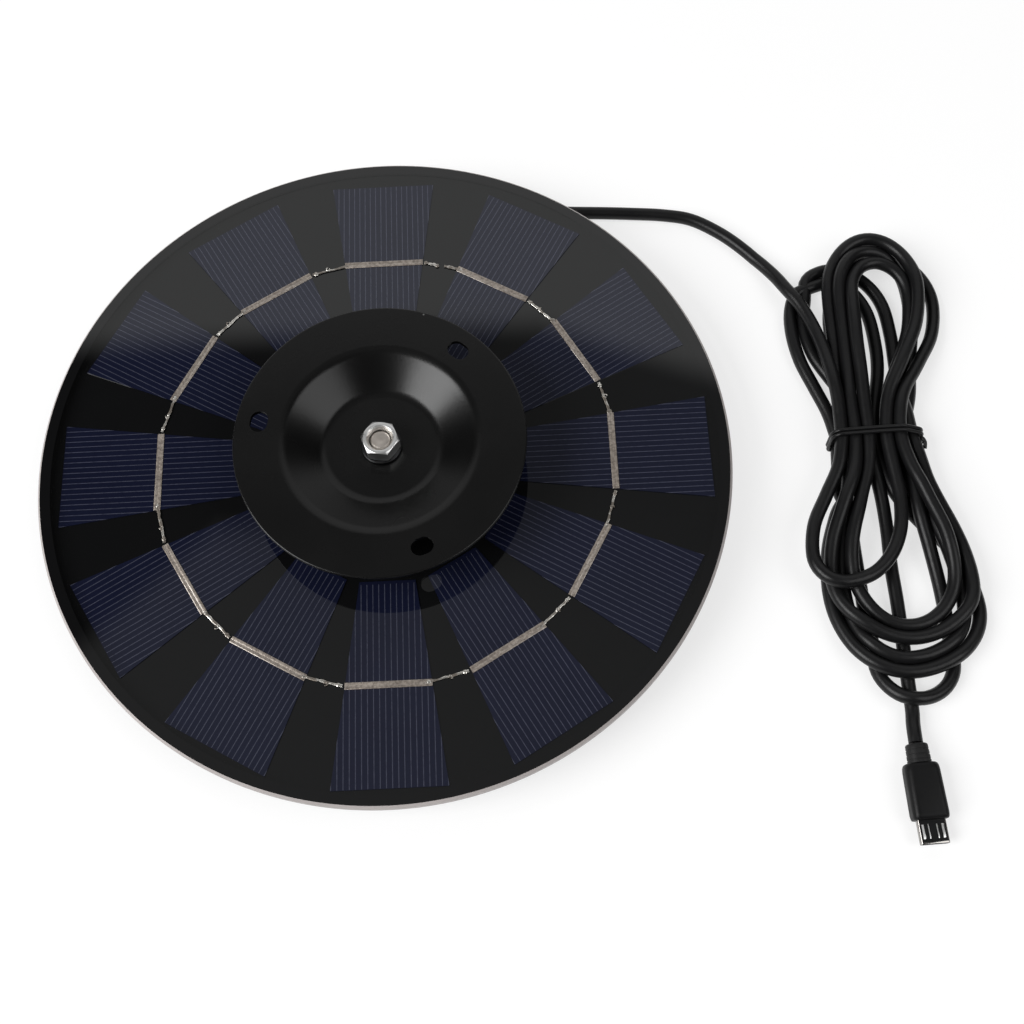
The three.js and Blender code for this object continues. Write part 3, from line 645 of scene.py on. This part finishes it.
# ---------- panel ----------
def make_glass():
    """The disc with its ground edge, and the thin black lining inside that edge."""
    under, over = 0.4, 0.65
    glass = build("glass_disc", [turned([
        (CENTRE_HOLE_RADIUS, GLASS_Z), (PANEL_RADIUS - under, GLASS_Z),
        (PANEL_RADIUS, GLASS_Z + under, 0.15), (PANEL_RADIUS, GLASS_TOP - over, 0.2),
        (PANEL_RADIUS - over, GLASS_TOP), (CENTRE_HOLE_RADIUS, GLASS_TOP),
    ], 256)], sharp=25)
    finish(glass, "panel", "glass", GLASS, GROUND_GLASS, replaces=["front_glass"])
    for face in glass.data.polygons:
        face.material_index = 0 if abs(face.normal.z) > 0.99 else 1
    low, high = RIBBON_Z + 0.08, GLASS_TOP - 0.03
    lip, foot, inner, outer = 84.3, 86.1, 86.7, 86.85
    lip_skin, foot_skin = 0.02, 0.08
    seal = build("edge_seal", [turned([
        (foot, low), (outer, low), (outer, high), (lip, high), (lip, high - lip_skin),
        (inner, high - lip_skin), (inner, low + foot_skin), (foot, low + foot_skin),
    ], 256)])
    finish(seal, "panel", "laminate", EDGE_SEAL)
    glass.visible_glossy = seal.visible_glossy = False
    seal.visible_diffuse = seal.visible_shadow = False


def strand(points, widths, heights):
    """A flattened bead of solder or wire that follows points in the plane of the ribbons."""
    sides = 10
    rings = []
    for i, (x, y) in enumerate(points):
        x0, y0 = points[max(i - 1, 0)]
        x1, y1 = points[min(i + 1, len(points) - 1)]
        length = math.hypot(x1 - x0, y1 - y0)
        nx, ny = -(y1 - y0) / length, (x1 - x0) / length
        ring = []
        for k in range(sides):
            a = 2 * math.pi * k / sides
            side, rise = math.cos(a) * widths[i] / 2, (math.sin(a) + 1) * heights[i] / 2
            ring.append((x + nx * side, y + ny * side, RIBBON_Z + rise))
        rings.append(ring)
    return lofted(rings)


def link_points():
    """Ends of the link from one busbar to the next, and its middle, in the first cell's frame."""
    tip = np.array((BUSBAR_APOTHEM, BUSBAR_LENGTH / 2))
    sector = math.radians(360 / CELL_COUNT)
    reach, angle = math.hypot(*tip), math.atan2(tip[1], tip[0])
    following = np.array((reach * math.cos(sector - angle), reach * math.sin(sector - angle)))
    return tip, following, (tip + following) / 2


def wandering(start, end, draw):
    """A slightly crooked line between two points."""
    count, most = 12, 0.13
    start, end = np.array(start, float), np.array(end, float)
    side = np.array((-(end - start)[1], (end - start)[0])) / np.linalg.norm(end - start)
    points = []
    for i in range(count):
        t = i / (count - 1)
        drift = draw.uniform(-most, most) * math.sin(math.pi * t)
        points.append(tuple(start + (end - start) * t + side * drift))
    return points


def bead(x, y, radius, height, draw):
    """A small rounded blob of solder."""
    sides = 14
    rings = []
    for share, rise in ((1.0, 0.0), (1.0, 0.35), (0.86, 0.68), (0.55, 0.92), (0.12, 1.0)):
        wobble = draw.uniform(0.93, 1.07)
        rings.append([(x + radius * share * wobble * math.cos(k * math.pi / (sides / 2)),
                       y + radius * share * math.sin(k * math.pi / (sides / 2)), RIBBON_Z + height * rise)
                      for k in range(sides)])
    return lofted(rings)


def solder_link(start, end, draw, knob=None):
    """The irregular wire between two busbars, with its solder beads and the knot in its middle."""
    bead_height = 0.19
    points = wandering(start, end, draw)
    widths = [draw.uniform(0.45, 0.8) for _ in points]
    heights = [draw.uniform(0.12, 0.17) for _ in points]
    widths[0] = widths[-1] = 0.8
    parts = [strand(points, widths, heights)]
    first, last = points[1], points[-2]
    parts.append(bead(*first, draw.uniform(0.5, 0.68), bead_height, draw))
    if knob is not None:
        reach = 0.45
        turn = [(knob[0] + reach * math.cos(a * math.pi / 6), knob[1] + reach * math.sin(a * math.pi / 6))
                for a in range(11)]
        parts.append(strand(turn, [0.34] * len(turn), [0.185] * len(turn)))
        parts.append(bead(*last, draw.uniform(0.45, 0.62), bead_height, draw))
    return parts


def busbar():
    """A flat ribbon in two strips with a shallow seam between them and rounded sides."""
    half, width, top = BUSBAR_LENGTH / 2, BUSBAR_WIDTH, RIBBON_THICKNESS
    section = [(-0.5, 0), (-0.5, 0.6), (-0.46, 0.95), (-0.36, 1.0), (-0.06, 1.0), (-0.02, 0.72),
               (0.02, 0.72), (0.06, 1.0), (0.36, 1.0), (0.46, 0.95), (0.5, 0.6), (0.5, 0)]
    rings = []
    for y in (-half, -half + 0.08, half - 0.08, half):
        squeeze = 0.94 if abs(y) == half else 1.0
        rings.append([(BUSBAR_APOTHEM + u * width * squeeze, y, RIBBON_Z + v * top * squeeze)
                      for u, v in section])
    return lofted(rings)


def make_ribbons():
    tip, following, middle = link_points()
    draw = random.Random(11)
    for i in range(CELL_COUNT):
        turn = STRING_START + i * 360 / CELL_COUNT
        start = (tip[0] + draw.uniform(-0.2, 0.3), tip[1] - draw.uniform(0.4, 2.2))
        whole = i < CELL_COUNT - 1
        end = tip + (following - tip) * (0.94 if whole else 0.38)
        knob = middle + (draw.uniform(-0.1, 0.4), draw.uniform(-0.3, 0.3)) if whole else None
        parts = [busbar()] + solder_link(start, end, draw, knob)
        if not whole:
            parts.append(bead(*(tip + (following - tip) * 0.24), 0.5, 0.19, draw))
        ribbon = build(f"tinned_ribbon_{i + 1:02d}", parts,
                       lambda x, y, z, turn=turn: at_angle(x, y, z, turn))
        finish(ribbon, "panel", "tinned", TINNED, SOLDER, replaces=[f"ribbon_{i + 1:02d}"])
        for face in list(ribbon.data.polygons)[len(parts[0][1]):]:
            face.material_index = 1
    start = (BUSBAR_APOTHEM - 0.1, -BUSBAR_LENGTH / 2 - 0.5)
    end = (middle[0], 0.5 - middle[1])
    parts = solder_link(start, end, draw) + [bead(end[0] - 0.1, end[1] + 0.3, 0.55, 0.19, draw)]
    tab = build("return_tab", parts, lambda x, y, z: at_angle(x, y, z, STRING_START))
    finish(tab, "panel", "tinned", SOLDER, replaces=["string_return_tab"])


# ---------- centre mount ----------
def make_flange():
    t, bore = FLANGE_SHEET, 2.8
    profile = [
        (bore, DISH_FLOOR, 0.15), (DISH_FLOOR_RADIUS, DISH_FLOOR, 1.3), (DISH_TOP_RADIUS, FLANGE_TOP, 1.4),
        (FLANGE_RADIUS, FLANGE_TOP, 0.45), (FLANGE_RADIUS, FLANGE_TOP - t, 0.3),
        (DISH_TOP_RADIUS + 0.3, FLANGE_TOP - t, 1.3), (DISH_FLOOR_RADIUS + 0.3, DISH_FLOOR - t, 1.2),
        (bore, DISH_FLOOR - t, 0.15),
    ]
    flange = build("flange_plate", [turned(profile, 192)])
    outline = rounded_ring(2 * SLOT_RADIUS, 2 * (SLOT_RADIUS + SLOT_STRETCH), SLOT_RADIUS - 0.01, 12)
    slots = []
    for i in range(SLOT_COUNT):
        angle = SLOT_PHASE + i * 360 / SLOT_COUNT
        vertices, faces = moved(prism(outline, FLANGE_TOP - 3, FLANGE_TOP + 2), SLOT_PITCH_RADIUS)
        slots.append(([at_angle(*v, angle) for v in vertices], faces))
    combine(flange, build("slots", slots), "DIFFERENCE")
    bevelled(flange, 0.12, 50)
    finish(flange, "flange", "flange_paint", FLANGE_PAINT, replaces=["flange"])


def hexagon(radius, turn=0.0):
    angles = [math.radians(turn + 60 * k) for k in range(6)]
    return [(radius * math.cos(a), radius * math.sin(a)) for a in angles]


def thread(radius, depth, low, high):
    """Points of a thread's flanks from low to high, from crest to root and back."""
    points, z = [], low
    while z + THREAD_PITCH <= high:
        points += [(radius, z), (radius, z + 0.1), (radius - depth, z + 0.35), (radius - depth, z + 0.45),
                   (radius, z + 0.7)]
        z += THREAD_PITCH
    return points


def make_nut():
    corner = NUT_FLATS / math.sqrt(3)
    face, drop = NUT_FLATS / 2 - 0.12, 0.5
    round_radius, mouth = corner + 0.06, 3.35
    bore = thread(2.7, -0.28, NUT_Z + 0.3, NUT_TOP - 1.3)
    profile = [
        (face, NUT_Z), (round_radius, NUT_Z + drop), (round_radius, NUT_TOP - drop), (face, NUT_TOP, 0.1),
        (mouth, NUT_TOP, 0.1), (2.72, NUT_TOP - 1.15),
    ] + bore[::-1] + [(2.9, NUT_Z)]
    nut = build("plated_nut", [turned(profile, 144)])
    sides = build("hexagon", [prism(hexagon(corner, NUT_TURN), NUT_Z - 1, NUT_TOP + 1)])
    combine(nut, sides, "INTERSECT")
    bevelled(nut, 0.07, 30)
    finish(nut, "nut", "zinc", ZINC, replaces=["hex_nut"])


def make_stud():
    thread_start = 17
    profile = [(0, STUD_HEAD_TOP - 1), (STUD_RADIUS, STUD_HEAD_TOP - 1), (STUD_RADIUS, 16.8)]
    profile += thread(STUD_RADIUS, 0.3, thread_start, STUD_END - 0.5)
    profile += [(STUD_RADIUS, STUD_END - 0.42), (STUD_RADIUS - 0.4, STUD_END, 0.08),
                (1.2, STUD_END, 0.3), (0, STUD_END - 0.12)]
    stud = build("threaded_stud", [turned(profile, 72)])
    head = prism(hexagon(4.6), STUD_HEAD_Z, STUD_HEAD_TOP)
    combine(stud, build("head", [head]), "UNION")
    finish(stud, "panel", "stud_steel", STUD_STEEL, replaces=["stud"])


def make_washer():
    bore = 2.7
    washer = build("flat_washer", [turned([
        (bore, WASHER_Z, 0.1), (WASHER_RADIUS, WASHER_Z, 0.2), (WASHER_RADIUS, WASHER_TOP, 0.25),
        (bore, WASHER_TOP, 0.1),
    ], 96)])
    finish(washer, "washer", "black_steel", BLACK_STEEL, replaces=["nut_washer"])


# ---------- rear housing ----------
def gland_place(x, y, z):
    """Puts a shape turned round +Z on the gland's axis, its height measured out from the housing wall."""
    a = math.radians(GLAND_ANGLE)
    out = HOUSING_RADIUS + z
    return out * math.cos(a) - x * math.sin(a), out * math.sin(a) + x * math.cos(a), GLAND_HEIGHT + y


def round_cutters(radius, low, high):
    """Four upright cylinders, one where each cover screw goes."""
    parts = []
    for i in range(SCREW_COUNT):
        cylinder = turned([(0, low), (radius, low), (radius, high), (0, high)], 32)
        vertices, faces = moved(cylinder, SCREW_PITCH_RADIUS)
        parts.append(([at_angle(*v, SCREW_PHASE + 360 / SCREW_COUNT * i) for v in vertices], faces))
    return parts


def make_housing():
    roof = HOUSING_TOP - HOUSING_WALL
    inside, bore = HOUSING_RADIUS - HOUSING_WALL, 2.7
    housing = build("housing_shell", [turned([
        (bore, roof), (inside, roof, 0.6), (inside, HOUSING_Z, 0.1), (HOUSING_RADIUS, HOUSING_Z, 0.2),
        (HOUSING_RADIUS, HOUSING_TOP, 0.8), (bore, HOUSING_TOP),
    ], 160)])
    combine(housing, build("bosses", round_cutters(3.2, HOUSING_Z + 0.05, roof + 0.5)), "UNION")
    combine(housing, build("pilots", round_cutters(1.35, HOUSING_Z - 1, roof - 0.5)), "DIFFERENCE")
    hole = build("hole", [turned([(0, -4), (2.15, -4), (2.15, 4), (0, 4)], 40)], gland_place)
    combine(housing, hole, "DIFFERENCE")
    finish(housing, "panel", "housing_abs", ABS, replaces=["housing"])
    cover = build("cover_plate", [turned([
        (0, COVER_Z), (HOUSING_RADIUS, COVER_Z, 0.9), (HOUSING_RADIUS, COVER_TOP, 0.15), (0, COVER_TOP),
    ], 160)])
    combine(cover, build("sinks", round_cutters(2.9, COVER_Z - 1, COVER_Z + 1.1)), "DIFFERENCE")
    combine(cover, build("holes", round_cutters(1.4, COVER_Z, COVER_TOP + 1)), "DIFFERENCE")
    bevelled(cover, 0.15, 50)
    finish(cover, "panel", "housing_abs", ABS, replaces=["rear_cover"])


def make_gland():
    """The tapered strain relief, with shallow ribs towards its end."""
    profile = [(0, -3.5), (1.7, -3.5, 0.1), (2, -2.9), (2, 0.3), (3.1, 0.3, 0.2), (3.1, 2.1, 0.4),
               (2.75, 2.8)]
    ribs, first_rib, rib_pitch = 8, 3.4, 1.6
    for i in range(ribs):
        start = first_rib + i * rib_pitch
        full, low = 2.78 - 0.085 * i, 2.48 - 0.065 * i
        profile += [(low, start, 0.15), (low, start + 0.55, 0.15), (full, start + 0.65, 0.1),
                    (full - 0.05, start + 1.5, 0.1)]
    profile += [(2.1, GLAND_LENGTH, 0.2), (0, GLAND_LENGTH)]
    gland = build("strain_relief", [turned(profile, 48)], gland_place, 50)
    finish(gland, "panel", "rubber", RUBBER, replaces=["cable_gland"])


def make_feet():
    for i in range(FOOT_COUNT):
        a = math.radians(360 / FOOT_COUNT * i)
        foot = build(f"rubber_foot_{i + 1}", [moved(turned([
            (0, 0.12), (2.6, 0.12, 0.2), (3.0, 0, 0.2), (FOOT_RADIUS, 0, 0.35),
            (FOOT_RADIUS, FOOT_TOP, 0.12), (0, FOOT_TOP),
        ], 48), FOOT_PITCH_RADIUS * math.cos(a), FOOT_PITCH_RADIUS * math.sin(a))])
        finish(foot, "panel", "rubber", RUBBER, replaces=[f"foot_{i + 1}"])


# ---------- plug and tie ----------
def plug_place(x, along, z):
    """A point of the plug: across it, along it from its back end, and above its middle."""
    dx, dy, dz = at_angle(x, -along, z, PLUG_YAW)
    return PLUG_ORIGIN[0] + dx, PLUG_ORIGIN[1] + dy, PLUG_ORIGIN[2] + dz


def plug_loft(sections, steps=8):
    """A skin over rounded sections, each given as its place along, width, depth and corner radius."""
    return lofted([[(x, along, z) for x, z in rounded_ring(width, depth, radius, steps)]
                   for along, width, depth, radius in sections])


def make_plug():
    """The plug's pieces, from the strain relief to the contacts."""
    ribs = [(0.0, 4.4, 4.2, 2.05), (0.18, 5.0, 4.7, 2.2), (0.45, 5.25, 4.9, 2.25), (1.3, 5.3, 4.9, 2.25),
            (1.36, 5.14, 4.74, 2.2), (1.56, 5.14, 4.74, 2.2), (1.62, 5.35, 4.92, 2.25),
            (2.5, 5.4, 4.95, 2.25), (2.56, 5.24, 4.79, 2.2), (2.76, 5.24, 4.79, 2.2),
            (2.82, 5.45, 4.97, 2.25), (3.7, 5.5, 5.0, 2.25), (3.76, 5.34, 4.84, 2.2),
            (3.96, 5.34, 4.84, 2.2), (4.02, 5.55, 5.0, 2.25), (4.58, 5.6, 5.0, 2.25)]
    relief = build("plug_strain_relief", [plug_loft(ribs)], plug_place, 50)
    finish(relief, "panel", "rubber", RUBBER, replaces=["plug_relief"])
    body = [(4.6, 6.6, 4.1, 1.8), (4.68, 7.2, 4.7, 1.9), (4.95, 7.9, 5.2, 2.0), (5.5, 8.3, 5.5, 2.0),
            (6.5, 8.45, 5.6, 1.9), (10, 8.55, 5.6, 1.8), (16.5, 8.7, 5.6, 1.7), (17.1, 8.6, 5.35, 1.6),
            (17.5, 8.45, 5.0, 1.5), (17.75, 8.2, 4.6, 1.4), (17.85, 7.7, 4.2, 1.4)]
    shell_body = build("plug_handle", [plug_loft(body, 10)], plug_place)
    finish(shell_body, "panel", "housing_abs", PLUG_PLASTIC, replaces=["plug_body"])
    outer, inner = rounded_ring(6.85, 1.85, 0.5), rounded_ring(6.25, 1.25, 0.25)
    low, lip, high = 17.9, 22.95, 23.45  # where the shell leaves the body, its bright lip, and its end
    rings = [[(x, s, z) for x, z in outline] for outline, s in (
        (outer, low), (outer, lip), (outer, high - 0.12), (rounded_ring(6.7, 1.7, 0.45), high),
        (rounded_ring(6.4, 1.4, 0.3), high), (inner, high - 0.12), (inner, low))]
    shell = build("plug_tip", [lofted(rings, capped=False)], plug_place)
    slits, slit_start, slit_end = ((-2.35, 0.34), (-1.0, 0.2), (1.0, 0.2), (2.35, 0.34)), 18.9, 22.3
    windows = [prism([(x - half, slit_start), (x + half, slit_start),
                      (x + half, slit_end), (x - half, slit_end)], 0.4, 1.5)
               for x, half in slits]
    combine(shell, build("windows", windows, plug_place), "DIFFERENCE")
    finish(shell, "panel", "stud_steel", SHELL_STEEL, PLUG_PLASTIC, replaces=["plug_shell"])
    # Painted reflection: the flat top of the steel shell, from where it leaves the body to its bright lip,
    # gets the black plastic in place of steel. It stands in for the dark surroundings that this face
    # reflects.
    for face in shell.data.polygons:
        _, y, z = face.center / MM
        if face.normal.z > 0.99 and z > PLUG_ORIGIN[2] + 0.8 and y > PLUG_ORIGIN[1] - lip:
            face.material_index = 1
    springs = []
    for x, half in slits:
        edge, sheet = half - 0.08, 0.12
        section = ((-edge, 0), (edge, 0), (edge, sheet), (-edge, sheet))
        springs.append(lofted([[(x + u, s, z + v) for u, v in section]
                               for s, z in ((18.8, 0.62), (20.4, 0.68), (21.6, 0.86), (22.2, 0.7))]))
    latch = build("plug_springs", springs, plug_place)
    finish(latch, "panel", "stud_steel", ZINC)
    tongue = build("plug_insert", [plug_loft([(low, 4.2, 0.5, 0.15), (22.5, 4.2, 0.5, 0.15),
                                              (22.65, 4.0, 0.36, 0.1)], 3)], plug_place)
    finish(tongue, "panel", "housing_abs", PLUG_PLASTIC, replaces=["plug_tongue"])
    blades = [moved(prism([(-0.16, 18.2), (0.16, 18.2), (0.16, 22.4), (-0.16, 22.4)], -0.31, -0.25), x)
              for x in (-1.3, -0.65, 0, 0.65, 1.3)]
    contacts = build("plug_contacts", blades, plug_place)
    finish(contacts, "panel", "stud_steel", CONTACT_GOLD)
    return [relief, shell_body, shell, latch, tongue, contacts]


def make_tie():
    """The wire tie: two turns round the strands that pass the hank's waist, with one end bent aside."""
    waist = lead_line[(np.abs(lead_line[:, 1] - TIE_Y) < 2.2) & (lead_line[:, 0] > HANK_WEST)]
    strands = waist[:, [0, 2]]
    clear = CORD_RADIUS + TIE_RADIUS + 0.05
    around = []
    for k in range(361):
        a = math.radians(k)
        normal = np.array((math.cos(a), math.sin(a)))
        far = strands[np.argmax(strands @ normal)]
        around.append(far + normal * clear)
    around = np.array([(x, TIE_Y, max(z, TIE_RADIUS + 0.02)) for x, z in around])
    around = evenly(around, 0.7)
    count = len(around) - 1
    begin, turns = round(count * 0.97), 2.06
    points = []
    for i in range(round(count * turns)):
        share = i / count
        x, y, z = around[(begin + i) % count]
        points.append((x, y + 0.75 - 1.12 * share + 0.25 * math.sin(2 * math.pi * share), z))
    x, y, z = points[-1]
    first = points[0]
    start = [(first[0] + 1.6, first[1] - 1.9, first[2] - 1.6),
             (first[0] + 1.1, first[1] - 0.6, first[2] - 0.7)]
    end = [(x + 0.6, y - 1.0, z - 0.3), (x + 0.5, y - 2.6, z - 0.9)]
    line = smoothed(np.array(start + points + end), 3)
    tie = make_curve("wire_tie", on_floor(line, TIE_RADIUS), TIE_RADIUS)
    return finish(tie, "panel", "rubber", JACKET, replaces=["hank_tie"])


make_glass()
make_ribbons()
make_flange()
make_nut()
make_stud()
make_washer()
make_housing()
make_gland()
make_feet()
plug = make_plug()
tie = make_tie()

finish(lead, "panel", "cord_jacket", JACKET, replaces=["lead_out", "lead_hank", "lead_tail"])

# The CAD's own solids that stay in view, by the material that each gets.
CARRIED = {
    FILM: ["encapsulant_film"],
    BACK_SHEET: ["back_sheet"],
    SILICON: [f"cell_{i + 1:02d}" for i in range(CELL_COUNT)],
    NYLON: ["centre_bush", "spacer"],
    RUBBER: ["glass_gasket", "housing_gasket"],
    BLACK_STEEL: [f"cover_screw_{i + 1}" for i in range(SCREW_COUNT)],
    BOARD: ["regulator_board"],
    FERRITE: ["inductor"],
    CHIP: ["regulator_chip"],
    RED_WIRE: ["plus_wire"],
    BLACK_WIRE: ["minus_wire"],
}
for material, names in CARRIED.items():
    for name in names:
        for slot in nodes[name].material_slots:
            slot.material = material


# ---------- floor, surroundings and lights ----------
def make_floor():
    half, z = 6000, -0.02
    corners = [(-half, -half, z), (half, -half, z), (half, half, z), (-half, half, z)]
    floor = build("floor", [(corners, [(0, 1, 2, 3)])])
    floor.data.materials.append(FLOOR)
    if floor.data.polygons[0].normal.z < 0:
        floor.data.flip_normals()


def make_surroundings():
    """A studio: white wall to the north, grey ceiling, a dark strip between them, dim sides.

    Directions are given as tangents from the vertical: u towards +X and v towards +Y.
    """
    world = bpy.data.worlds.new("studio")
    bpy.context.scene.world = world
    world.use_nodes = True
    g = Graph(world.node_tree)
    dx, dy, dz = g.split(g.add("ShaderNodeTexCoord").outputs["Generated"])
    horizon = 0.02
    rise = g.math("MAXIMUM", dz, horizon)
    u, v = g.math("DIVIDE", dx, rise), g.math("DIVIDE", dy, rise)

    def beyond(value, start):
        return g.math("MAXIMUM", g.math("SUBTRACT", value, start), 0.0)

    wall_start, wall_bend, wall_slant = 0.553, 0.03, 0.39
    wall_edge = g.math("SUBTRACT", wall_start, g.math("MULTIPLY", beyond(u, wall_bend), wall_slant))
    over = g.math("SUBTRACT", v, wall_edge)
    ahead = g.math("DIVIDE", dy, g.math("MAXIMUM", g.math("ABSOLUTE", dx), 0.01))
    wall = g.math("MULTIPLY", g.step(over, -0.02, 0.02), g.step(ahead, 0.85, 1.25))
    ceiling_end, west_bend, west_slant, east_bend, east_slant = 0.372, -0.2486, 0.9, -0.106, 0.3
    left = g.math("MAXIMUM", g.math("SUBTRACT", west_bend, u), 0.0)
    ceiling_edge = g.math("SUBTRACT", g.math("SUBTRACT", ceiling_end, g.math("MULTIPLY", left, west_slant)),
                          g.math("MULTIPLY", beyond(u, east_bend), east_slant))
    under = g.math("SUBTRACT", v, ceiling_edge)
    blur = g.step(u, -0.2, 0.1, 0.02, 0.09)
    strip_share = g.step(g.math("DIVIDE", under, blur), -1.0, 1.0)
    strip_level = g.step(u, -0.25, 0.08, 0.02, 0.15)
    ceiling_level = g.math("MULTIPLY", g.step(u, -0.3, 0.15, 0.27, 0.22),
                           g.step(v, -0.15, 0.1, 0.3, 1.0))
    sides = g.math("MULTIPLY", g.step(u, -0.7, -0.45, 0.3, 1.0), g.step(u, 0.21, 0.3, 1.0, 0.08))
    low = g.math("MULTIPLY", g.mix(strip_share, ceiling_level, strip_level), sides)
    wall_level = g.step(v, 1.6, 4.5, 0.82, 0.34)
    light = g.mix(wall, low, wall_level)
    seen = g.add("ShaderNodeLightPath").outputs["Is Camera Ray"]
    shown = g.mix(seen, light, grey(0.93))
    background = world.node_tree.nodes["Background"]
    g.feed(background.inputs["Color"], shown)


def make_softbox(name, direction, distance, size, radiance):
    data = bpy.data.lights.new(name, "AREA")
    data.shape, data.size = "SQUARE", size
    data.energy = radiance * math.pi * size * size
    softbox = bpy.data.objects.new(name, data)
    aim = Vector(direction).normalized()
    turn = aim.to_track_quat("Z", "Y").to_matrix().to_4x4()
    softbox.matrix_world = Matrix.Translation(aim * distance) @ turn
    bpy.context.scene.collection.objects.link(softbox)


make_floor()
make_surroundings()
make_softbox("left_softbox", (-0.708, -0.262, 0.656), 1.7, 1.02, 9.2)
make_softbox("right_softbox", (0.635, -0.248, 0.73), 1.7, 1.12, 2.6)
bpy.context.scene.view_settings.view_transform = "Standard"
